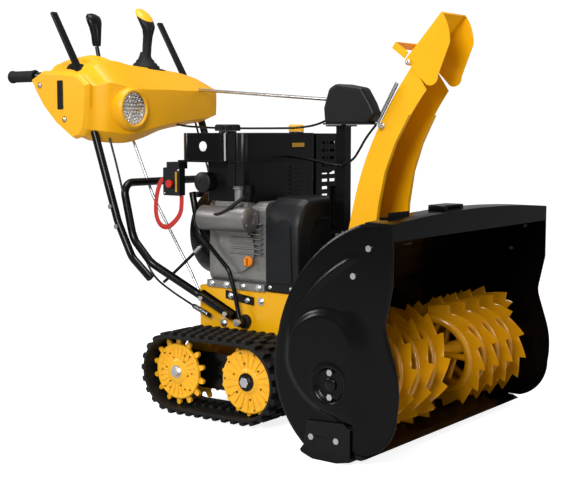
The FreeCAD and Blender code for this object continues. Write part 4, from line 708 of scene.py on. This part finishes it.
def dash_mesh():
    """Smooth loft through the dash's sections, closed at its ends."""
    stations = sorted(DASH)
    fine = 9
    rows = []
    for k in range(len(stations) - 1):
        for i in range(fine if k < len(stations) - 2 else fine + 1):
            t = i / fine
            xs = [stations[max(0, min(len(stations) - 1, k + d))] for d in (-1, 0, 1, 2)]
            x = xs[1] + (xs[2] - xs[1]) * t
            row = []
            for j in range(len(DASH[stations[0]])):
                point = []
                for c in (0, 1):
                    p0, p1, p2, p3 = (DASH[q][j][c] for q in xs)
                    span = xs[2] - xs[1]
                    m1 = (p2 - p0) / max(1, xs[2] - xs[0]) * span
                    m2 = (p3 - p1) / max(1, xs[3] - xs[1]) * span
                    point.append((2 * t**3 - 3 * t**2 + 1) * p1 + (t**3 - 2 * t**2 + t) * m1
                                 + (3 * t**2 - 2 * t**3) * p2 + (t**3 - t**2) * m2)
                row.append((x, point[0], point[1]))
            rows.append(row)
    n = len(rows[0])
    points = [p for row in rows for p in row]
    faces = []
    for k in range(len(rows) - 1):
        for j in range(n):
            a, b = k * n + j, k * n + (j + 1) % n
            faces.append((a, b, b + n, a + n))
    faces.append(tuple(reversed(range(n))))
    faces.append(tuple((len(rows) - 1) * n + j for j in range(n)))
    return points, [tuple(reversed(f)) for f in faces]


dash_shape = dash_mesh()
make("dash_shell", dash_shape, DASH_YELLOW, "machine", bevel=13.0, segments=5, limit=24,
     stands_for=("dash_panel",))
DASH_SURFACE = BVHTree.FromPolygons([Vector(p) for p in dash_shape[0]], dash_shape[1])


def draped(x0, x1, y0, y1, lift, rise=0.0):
    """Thin pad that follows the dash's top over a rectangle with rounded ends."""
    nx, ny = 8, 14
    points, faces = [], []
    for j in range(ny + 1):
        v = j / ny
        pinch = 1 - 0.35 * abs(2 * v - 1) ** 6
        for i in range(nx + 1):
            u = i / nx
            x = (x0 + x1) / 2 + (x1 - x0) * (u - 0.5) * pinch
            y = y0 + (y1 - y0) * v
            hit = DASH_SURFACE.ray_cast(Vector((x, y, 1200)), Vector((0, 0, -1)))[0]
            hump = rise * (1 - (2 * u - 1) ** 4) * (1 - (2 * v - 1) ** 4)
            points.append((x, y, hit.z + lift + hump))
    n = nx + 1
    for j in range(ny):
        for i in range(nx):
            a = j * n + i
            faces.append((a, a + 1, a + n + 1, a + n))
    top = len(points)
    points += [(x, y, z - 6) for x, y, z in points]
    faces += [tuple(reversed([i + top for i in f])) for f in faces[:nx * ny]]
    rim = list(range(n)) + [j * n + nx for j in range(1, ny + 1)]
    rim += [ny * n + i for i in range(nx - 1, -1, -1)] + [j * n for j in range(ny - 1, 0, -1)]
    faces += [(a, a + top, b + top, b) for a, b in zip(rim, rim[1:] + rim[:1])]
    return points, faces


LAMP = (-140.0, 802.0)
bezel = lathe([(61, 344), (60, 328), (57, 318), (52, 313), (48, 313), (45.5, 316), (45, 334)],
              (LAMP[0], 0, LAMP[1]), (0, 1, 0), 64)
make("lamp_bezel", bezel, DASH_YELLOW, "machine", sharp=45)
bowl = lathe([(45.4, 319), (41, 322), (28, 325), (0.5, 326), (0.5, 330), (45.4, 330)],
             (LAMP[0], 0, LAMP[1]), (0, 1, 0), 56, closed=True)
make("lamp_bowl", bowl, GLASSY, "machine", sharp=60, stands_for=("headlight",))
chips = []
for ring, count in ((0, 1), (11, 6), (21.5, 12), (31.5, 18), (40, 24)):
    for i in range(count):
        a = TURN * i / count
        c = (LAMP[0] + ring * math.cos(a), 321.5, LAMP[1] + ring * math.sin(a))
        chips.append(lathe([(4.6, 6), (4.6, 0), (3.4, -2.4), (1.6, -3.8), (0.2, -4.0)], c, (0, 1, 0), 8))
make("lamp_chips", join(*chips), CHIP, "machine", sharp=20)
# The dark pads are painted shade: they stand for the shade inside the dash's lever slots.
dark = [draped(-226, -208, 440, 500, 0.5), draped(-107, -93, 440, 530, 0.5),
        draped(208, 226, 440, 500, 0.5)]
make("dash_slots", join(*dark), BLACK_AND_SHADE, "machine")
ridges = [draped(-196, -178, 400, 560, 0.2, 7), draped(-160, -136, 405, 560, 0.2, 8),
          draped(-84, -66, 410, 560, 0.2, 6)]
make("dash_ridges", join(*ridges), DASH_YELLOW, "machine", sharp=60)
make("stick_pad", draped(-16, 96, 398, 520, 0.8, 5), PLASTIC, "machine", sharp=60)
make("stick_boot", lathe([(44, 922), (42, 930), (37, 933), (34, 939), (29, 941), (26, 948), (21, 952),
                          (17, 962), (14, 972)], (40, 448, 0), (0, 0, 1), 40), RUBBER, "machine", sharp=50)
make("dash_label", block(-266.5, -260, 470, 492, 800, 880), BLACK_AND_SHADE, "machine", bevel=1.0)
make("dash_screws", join(*[dome_bolt((-263, y, z), (-1, 0, 0), 7) for y, z in ((566, 868), (466, 772))]),
     ZINC, "machine")
# Brown rings: painted shade in the recessed wells round the dash screws.
make("dash_screw_wells", join(*[lathe([(10, 0), (9, 1.4), (7.4, 1.5)], (-262.6, y, z), (-1, 0, 0),
                                      24) for y, z in ((566, 868), (466, 772))]), PAINTED_HOLE_SHADE, "machine")

# ---- levers and knobs ----------------------------------------------------
def knob_loft(stations, count=28):
    """Loft of ellipses: each station is a centre, its half widths and its tilt about X."""
    points, faces = [], []
    for (cx, cy, cz), hx, hy, tilt in stations:
        for i in range(count):
            t = TURN * i / count
            u, v = hx * math.cos(t), hy * math.sin(t)
            points.append((cx + u, cy + v * math.cos(tilt), cz + v * math.sin(tilt)))
    for k in range(len(stations) - 1):
        for i in range(count):
            j = (i + 1) % count
            faces.append((k * count + i, k * count + j, (k + 1) * count + j, (k + 1) * count + i))
    faces.append(tuple(reversed(range(count))))
    faces.append(tuple((len(stations) - 1) * count + i for i in range(count)))
    return points, faces


shift_knob = knob_loft([
    ((-100, 505, 984), 12, 10, 0),
    ((-100, 506, 992), 14, 12, 0),
    ((-100, 507, 1014), 16, 13, 0.05),
    ((-100, 510, 1036), 20, 15, 0.12),
    ((-100, 514, 1052), 25, 18, 0.25),
    ((-100, 517, 1064), 26, 19, 0.35),
    ((-100, 518, 1072), 22, 15, 0.4),
    ((-100, 518, 1076), 10, 8, 0.4),
])
shift_stem = lathe([(12, -8), (12, 8)], (-100, 462, 812), (1, 0, 0), 24)
stem_axis = Vector((0, 43, 170))
stem = lathe([(6, 0), (6, stem_axis.length)], (-100, 462, 812), stem_axis, 20)
make("gear_knob", shift_knob, SHROUD, "gear_lever", sharp=60, stands_for=("shift_lever",))
make("gear_stem", join(shift_stem, stem), BLACK_PAINT, "gear_lever")
stick = knob_loft([
    ((40, 448, 868), 11, 11, 0),
    ((40, 446, 905), 12, 12, 0),
    ((40, 443, 945), 13, 13.5, 0),
    ((40, 440, 985), 13, 14, 0.05),
    ((40, 436, 1016), 13.5, 15, 0.1),
    ((40, 434, 1034), 17, 18, 0.2),
    ((40, 437, 1050), 23, 24, 0.35),
    ((40, 444, 1064), 26, 28, 0.5),
    ((40, 449, 1074), 26, 28, 0.55),
])
stick_cap = knob_loft([
    ((40, 449.2, 1074), 26.6, 28.6, 0.55),
    ((40, 452, 1081), 25.5, 28, 0.55),
    ((40, 455, 1088), 21, 23, 0.55),
    ((40, 457, 1093), 13, 14, 0.55),
    ((40, 457.6, 1095), 3, 3, 0.55),
])
make("stick_grip", stick, PLASTIC, "stick", sharp=60, stands_for=("joystick",))
make("stick_cap", stick_cap, CAP_YELLOW, "stick", sharp=60)


def grip():
    """A ribbed rubber grip."""
    profile = [(11.05, 598), (17, 598), (18, 600), (18, 603), (15.4, 605)]
    for i in range(13):
        y = 608 + i * 6.4
        profile += [(15.2, y), (16.3, y + 1.4), (16.3, y + 3.6), (15.2, y + 5)]
    profile += [(15.4, 693), (18, 695), (18.2, 700), (16, 702.6), (6, 703)]
    return lathe(profile, (-250, 0, 895), (0, 1, 0), 40)


make("grip_right", grip(), RUBBER, "machine", sharp=40, stands_for=("grips",))
make("grip_left", mirror(grip()), RUBBER, "machine", sharp=40, stands_for=("grips",))

# ---- caps ----------------------------------------------------------------
def ribbed_cap(centre, axis, radius, low, high, ribs, depth=1.4):
    """Round cap with ribs round its edge and a chamfered top."""
    axis, side, up = basis(axis)
    centre = Vector(centre)
    per = 4
    count = ribs * per
    points, faces = [], []
    rings = [
        (radius, low, True),
        (radius, high - 4, True),
        (radius - 3, high - 0.6, False),
        (radius - 6, high, False),
        (radius * 0.55, high, False),
        (radius * 0.5, high - 1.5, False),
        (0.5, high - 1.2, False),
    ]
    for r, a, wavy in rings:
        for i in range(count):
            t = TURN * i / count
            q = r - (depth if wavy and i % per in (2, 3) else 0)
            points.append(centre + axis * a + side * (q * math.cos(t)) + up * (q * math.sin(t)))
    for k in range(len(rings) - 1):
        for i in range(count):
            j = (i + 1) % count
            faces.append((k * count + i, k * count + j, (k + 1) * count + j, (k + 1) * count + i))
    faces.append(tuple(reversed(range(count))))
    return points, faces


make("tank_cap_ribbed", ribbed_cap((-60, 44, 0), (0, 0, 1), 34.6, 740.3, 758, 30), PLASTIC, "tank_cap",
     sharp=25, stands_for=("fuel_cap",))
make("choke_knob_ribbed", ribbed_cap((95, -72, 0), (0, 0, 1), 20.8, 738.4, 757.8, 24, 0.9), CAP_YELLOW,
     "choke", sharp=25, stands_for=("choke_knob",))
oil = join(ribbed_cap((-128.4, -84, 400), (-1, 0, 0), 15, 0, 7, 16, 1.0),
           block(-144, -134, -86.5, -81.5, 390, 410))
make("oil_cap_winged", oil, ORANGE, "oil_filler_cap", bevel=0.7, segments=2, stands_for=("oil_cap",))

# ---- belt cover and control head ----------------------------------------
def stepped(outline, centre, layers, axis):
    """Solid made of shrinking copies of an outline; layers are (shrink share, height)."""
    points, faces = [], []
    n = len(outline)
    for share, w in layers:
        for u, v in outline:
            p = (centre[0] + (u - centre[0]) * share, centre[1] + (v - centre[1]) * share)
            points.append({"Y": (p[0], w, p[1]), "X": (w, p[0], p[1])}[axis])
    for k in range(len(layers) - 1):
        for i in range(n):
            j = (i + 1) % n
            faces.append((k * n + i, k * n + j, (k + 1) * n + j, (k + 1) * n + i))
    faces.append(tuple(reversed(range(n))))
    faces.append(tuple((len(layers) - 1) * n + i for i in range(n)))
    return points, faces


COVER = [(-134, 327), (-134.5, 420), (-134, 500), (-124, 530), (-106, 554), (-84, 568), (-40, 571),
         (20, 571), (58, 569), (82, 556), (100, 536),
         (114, 504), (121, 466), (121, 410), (110, 368), (96, 327)]
cover = stepped(COVER, (0, 440), [(1.0, -146), (1.0, -222), (0.985, -236), (0.95, -246), (0.90, -249.5),
                                  (0.60, -249.8), (0.56, -244), (0.3, -244)], "Y")
make("belt_cover_shell", cover, PLASTIC, "machine", bevel=2.4, segments=3, limit=20,
     stands_for=("belt_cover",))
side_panel = prism([(-232, 350), (-158, 350), (-158, 470), (-170, 500), (-200, 520), (-226, 500)], -137.5,
                   -133)
make("belt_cover_panel", side_panel, PLASTIC, "machine", bevel=2.0, segments=3)
make("belt_cover_screws", join(dome_bolt((-134, -160, 338), (-1, 0, 0), 6),
                               dome_bolt((-134, -228, 338), (-1, 0, 0), 6)), ZINC, "machine")

HEAD = [(-250, 757), (-246, 800), (-262, 850), (-285, 861.5), (-364, 850), (-391, 812), (-406, 782),
        (-382, 757)]


def control_head():
    """The control head's cover, narrower at the front."""
    points, faces = prism(HEAD, -24, 56)
    fixed = []
    for x, y, z in points:
        if x > 0 and y < -320:
            x = 24 - (min(y, -328) + 328) * -0.125
        fixed.append((x, y, z))
    return fixed, faces


make("head_cover", control_head(), PLASTIC, "machine", bevel=9.0, segments=4, limit=20,
     stands_for=("control_head",))
make("head_skirt", prism([(-26, -392), (8, -392), (20, -330), (58, -314), (58, -248), (-26, -248)], 756.6,
                         761, "Z"), PLASTIC, "machine", bevel=1.0)

# ---- engine details ------------------------------------------------------
trim = []
for i in range(7):
    z = 420 + i * 13
    trim.append(block(-133, -121, -128, -24, z, z + 3))
make("block_fins", join(*trim), CAST, "machine", bevel=0.8)
flange_bolts = [hex_bolt((-132.4, y, 333), (-1, 0, 0), 12, 5, 9) for y in (-120, -66, -10, 40)]
make("block_bolts", join(*flange_bolts), ZINC, "machine", bevel=0.4)
starter_face = lathe([(33, 112), (33, 116), (30, 117.5), (12, 118), (11, 117), (0.5, 117)], (-160, 0, 512),
                     (0, -1, 0), 48)
make("starter_cap", starter_face, MACHINED, "machine", sharp=40)
make("starter_screws", join(*[dome_bolt((-160 + 22 * math.cos(a), -117.4, 512 + 22 * math.sin(a)),
                                        (0, -1, 0), 3.2) for a in (0.7, 3.84)]), STEEL, "machine")
filler = join(lathe([(13, 0), (13, 44)], (-136, -60, 545), (0, 0, 1), 28),
              lathe([(17, 44), (17, 54)], (-136, -60, 545), (0, 0, 1), 28))
make("block_neck", filler, CAST, "machine", bevel=1.0)
hose = [(-146, 20, 540), (-176, 6, 528), (-190, -20, 520), (-188, -52, 530), (-172, -80, 556),
        (-156, -92, 570)]
curve("engine_hose", hose, 5.0, RUBBER, "machine", order=4)
intake = lathe([(27, 30), (27, 34), (24, 36), (8, 36.5), (7, 35), (0.5, 35)], (-139, 38, 606), (-1, 0, 0),
               44)
make("intake_cap", intake, PLASTIC, "machine", sharp=40)
seam = [block(-166, 151, -101.2, -99, 660, 662.6), block(-166.2, -164, -98, -46, 660, 662.6)]
make("shroud_seam", join(*seam), BLACK_AND_SHADE, "machine")
make("shroud_label", block(38, 92, -102, -99.5, 697, 708), GOLD, "machine", bevel=0.6)
make("shroud_label_edge", block(33, 97, -101.2, -99.2, 692, 713), BLACK_AND_SHADE, "machine", bevel=0.6)
make("tank_sticker", lathe([(13, 0), (13, 0.8), (12.4, 1.1)], (-164.9, 40, 700), (-1, 0, 0), 40), WHITE,
     "machine", sharp=40)
louvres = [block(30, 92, -103.5, -98, 570 + 12 * i, 576 + 12 * i) for i in range(7)]
make("shroud_louvres", join(*louvres), SHROUD, "machine", bevel=1.5)
# The vents are thin dark slots, painted shade for the openings in the recoil housing.
vents = []
for i in range(16):
    a = TURN * i / 16
    slot = prism([(-3.0, 52), (3.0, 52), (4.5, 76), (-4.5, 76)], 149.6, 151.4, "Y")
    vents.append(moved(slot, Matrix.Translation((0, 0, 463)) @ Matrix.Rotation(a, 4, "Y")))
make("recoil_vents", join(*vents), BLACK_AND_SHADE, "machine")
make("recoil_hub", lathe([(44, 149), (44, 153), (38, 156), (10, 157), (0.5, 157)], (0, 0, 463), (0, 1, 0),
                         48), PLASTIC, "machine", sharp=40)
make("recoil_handle", block(-62, -10, 150, 168, 556, 572), PLASTIC, "machine", bevel=5.0, segments=4)
tube_stub = lathe([(12, 0), (12, 40), (9, 42), (9, 70)], (206, -60, 560), (0, 0, -1), 24)
make("exhaust_stub", tube_stub, STEEL, "machine", sharp=40)
make("key_strip", block(-190.6, -188.6, 112, 118, 578, 632), GOLD, "machine", bevel=0.3)
make("box_screws", join(dome_bolt((-189, 108, 636), (-1, 0, 0), 3),
                        dome_bolt((-189, 158, 574), (-1, 0, 0), 3)), ZINC, "machine")

# ---- chassis details -----------------------------------------------------
for tag, flip in (("right", False), ("left", True)):
    def side(shape):
        """The shape on this pass of the loop: right side, or mirrored to the left."""
        return mirror(shape) if flip else shape
    shaft_cap = lathe([(15, 0), (15, 1.4), (13.6, 2.4), (0.5, 2.6)], (-PLATE_X - 1.6, AXLE_Y, AXLE_Z),
                      (-1, 0, 0), 40)
    make("shaft_cap_" + tag, side(shaft_cap), BLACK_PAINT, "machine", sharp=40)
    bracket = prism([(-100, 284), (-100, 306), (-4, 318), (-4, 296)], -129.5, -125)
    make("mount_bracket_" + tag, side(bracket), BLACK_PAINT, "machine", bevel=1.5)
    bolts = [hex_bolt((-129.5, y, z), (-1, 0, 0), 11, 5, 8) for y, z in ((-24, 305), (-80, 297))]
    bolts += [hex_bolt((-125, -122, 297), (-1, 0, 0), 12, 5, 11),
              hex_bolt((-125, 5, 228), (-1, 0, 0), 12, 5, 12)]
    make("chassis_bolts_" + tag, side(join(*bolts)), ZINC, "machine", bevel=0.4)
    shoe = prism([(-44, 236), (-40, 262), (74, 312), (92, 306), (92, 290), (-28, 238)], -126.5, -125.2)
    make("hoop_shoe_" + tag, side(shoe), BLACK_PAINT, "machine", bevel=0.6)
    coil("clutch_spring_" + tag, (141 if flip else -141, 96, 266), (141 if flip else -141, 48, 249), 6.5,
         1.1, 12, ZINC, "machine")

curve("link_rod", [(-176, 176, 330), (-176, 160, 340), (-176, 60, 420)], 4.2, BLACK_PAINT, "machine")
make("link_end", lathe([(5.5, 0), (5.5, 22), (4, 23), (4, 30)], (-176, 62, 419), (0, -0.78, 0.62), 20),
     ZINC, "machine", sharp=40)

# ---- chute details -------------------------------------------------------
coil("hood_spring_coil", (-66.8, -441, 760), (-65.2, -496, 856), 4.6, 1.0, 34, BLACK_AND_SHADE, "chute",
     stands_for=("hood_spring",))
CABLE_START, CABLE_STOP = (-12, -301.5, 653), (-70, -440, 756)
loose = hose_mesh([CABLE_START, (-18, -335, 664), (-42, -372, 692), (-66, -410, 728), CABLE_STOP], 3.0)
cable_tail = make("hood_cable_tail", loose, BLACK_PAINT, None, stands_for=("hood_cable_end",))
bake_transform(cable_tail)
rivets = [dome_bolt((-61, -524, 905), (-1, 0, 0), 7), dome_bolt((61, -524, 905), (1, 0, 0), 7)]
make("hood_rivets", join(*rivets), ZINC, "hood")
clamp = join(lathe([(8, 0), (8, 6), (5, 8)], (-57, -452, 754), (-1, 0, 0), 20),
             block(-72, -57, -456, -446, 748, 760))
make("cable_clamp", clamp, ZINC, "chute", bevel=0.6)
make("chute_bolts", join(*[dome_bolt((-58.5, -400, 604), (-1, 0, 0), 5)]), ZINC, "chute")

# ---- floor, light, camera ------------------------------------------------
floor_mesh = bpy.data.meshes.new("floor")
HALF_FLOOR = 40.0
FLOOR_Z = -0.001          # just under the tracks, so that no faces share a plane
corners = [(x * HALF_FLOOR, y * HALF_FLOOR, FLOOR_Z) for x, y in ((-1, -1), (1, -1), (1, 1), (-1, 1))]
floor_mesh.from_pydata(corners, [], [(0, 1, 2, 3)])
floor = bpy.data.objects.new("floor", floor_mesh)
bpy.context.scene.collection.objects.link(floor)
pale = material("floor_pale", [0.50, 0.50, 0.50], 0.8, specular=0.1, grain=40, bump=0.02, vary=0.01)
glow = pale.node_tree.nodes["Principled BSDF"]
glow.inputs["Emission Color"].default_value = (1, 1, 1, 1)
FLOOR_GLOW_LIT, FLOOR_GLOW_SEEN = 0.02, 0.85     # for reflections, and as the camera sees it
seen = pale.node_tree.nodes.new("ShaderNodeLightPath")
shine = pale.node_tree.nodes.new("ShaderNodeMapRange")
shine.inputs["To Min"].default_value = FLOOR_GLOW_LIT
shine.inputs["To Max"].default_value = FLOOR_GLOW_SEEN
pale.node_tree.links.new(seen.outputs["Is Camera Ray"], shine.inputs["Value"])
pale.node_tree.links.new(shine.outputs["Result"], glow.inputs["Emission Strength"])
floor_mesh.materials.append(pale)

SKY_LIT, SKY_SEEN = 0.34, 1.05
world = bpy.data.worlds.new("studio")
bpy.context.scene.world = world
world.use_nodes = True
tree = world.node_tree
sky = tree.nodes["Background"]
sky.inputs["Color"].default_value = (1, 1, 1, 1)
path = tree.nodes.new("ShaderNodeLightPath")
strength = tree.nodes.new("ShaderNodeMapRange")
strength.inputs["To Min"].default_value = SKY_LIT
strength.inputs["To Max"].default_value = SKY_SEEN
tree.links.new(path.outputs["Is Camera Ray"], strength.inputs["Value"])
tree.links.new(strength.outputs["Result"], sky.inputs["Strength"])


def area(name, place, target, size, power):
    """A square soft light at a place in metres, turned towards a target."""
    light = bpy.data.lights.new(name, "AREA")
    light.shape = "SQUARE"
    light.size = size
    light.energy = power
    obj = bpy.data.objects.new(name, light)
    bpy.context.scene.collection.objects.link(obj)
    obj.location = place
    obj.rotation_euler = (Vector(target) - Vector(place)).to_track_quat("-Z", "Y").to_euler()


area("key", (-3.6, -1.4, 2.3), (0, -0.1, 0.5), 1.3, 118)
area("top", (-0.3, 0.2, 3.6), (0, 0, 0.4), 1.6, 70)
area("front", (0.6, -4.0, 1.5), (0, -0.4, 0.4), 1.2, 26)
area("back", (-2.2, 2.8, 2.0), (-0.2, 0.2, 0.6), 1.0, 40)

CAMERA_PLACE = Vector((-2.4725, -2.0017, 0.74925))
YAW, PITCH = math.radians(52.5165), math.radians(5.696)
LENS = 73.39
FAR_CLIP = 200
camera = bpy.data.cameras.new("camera")
camera.lens = LENS
camera.sensor_width = 36.0
camera.clip_end = FAR_CLIP
eye = bpy.data.objects.new("camera", camera)
bpy.context.scene.collection.objects.link(eye)
eye.location = CAMERA_PLACE
looking = Vector((math.sin(YAW) * math.cos(PITCH), math.cos(YAW) * math.cos(PITCH), -math.sin(PITCH)))
eye.rotation_euler = looking.to_track_quat("-Z", "Y").to_euler()
bpy.context.scene.camera = eye
bpy.context.scene.view_settings.view_transform = "Standard"
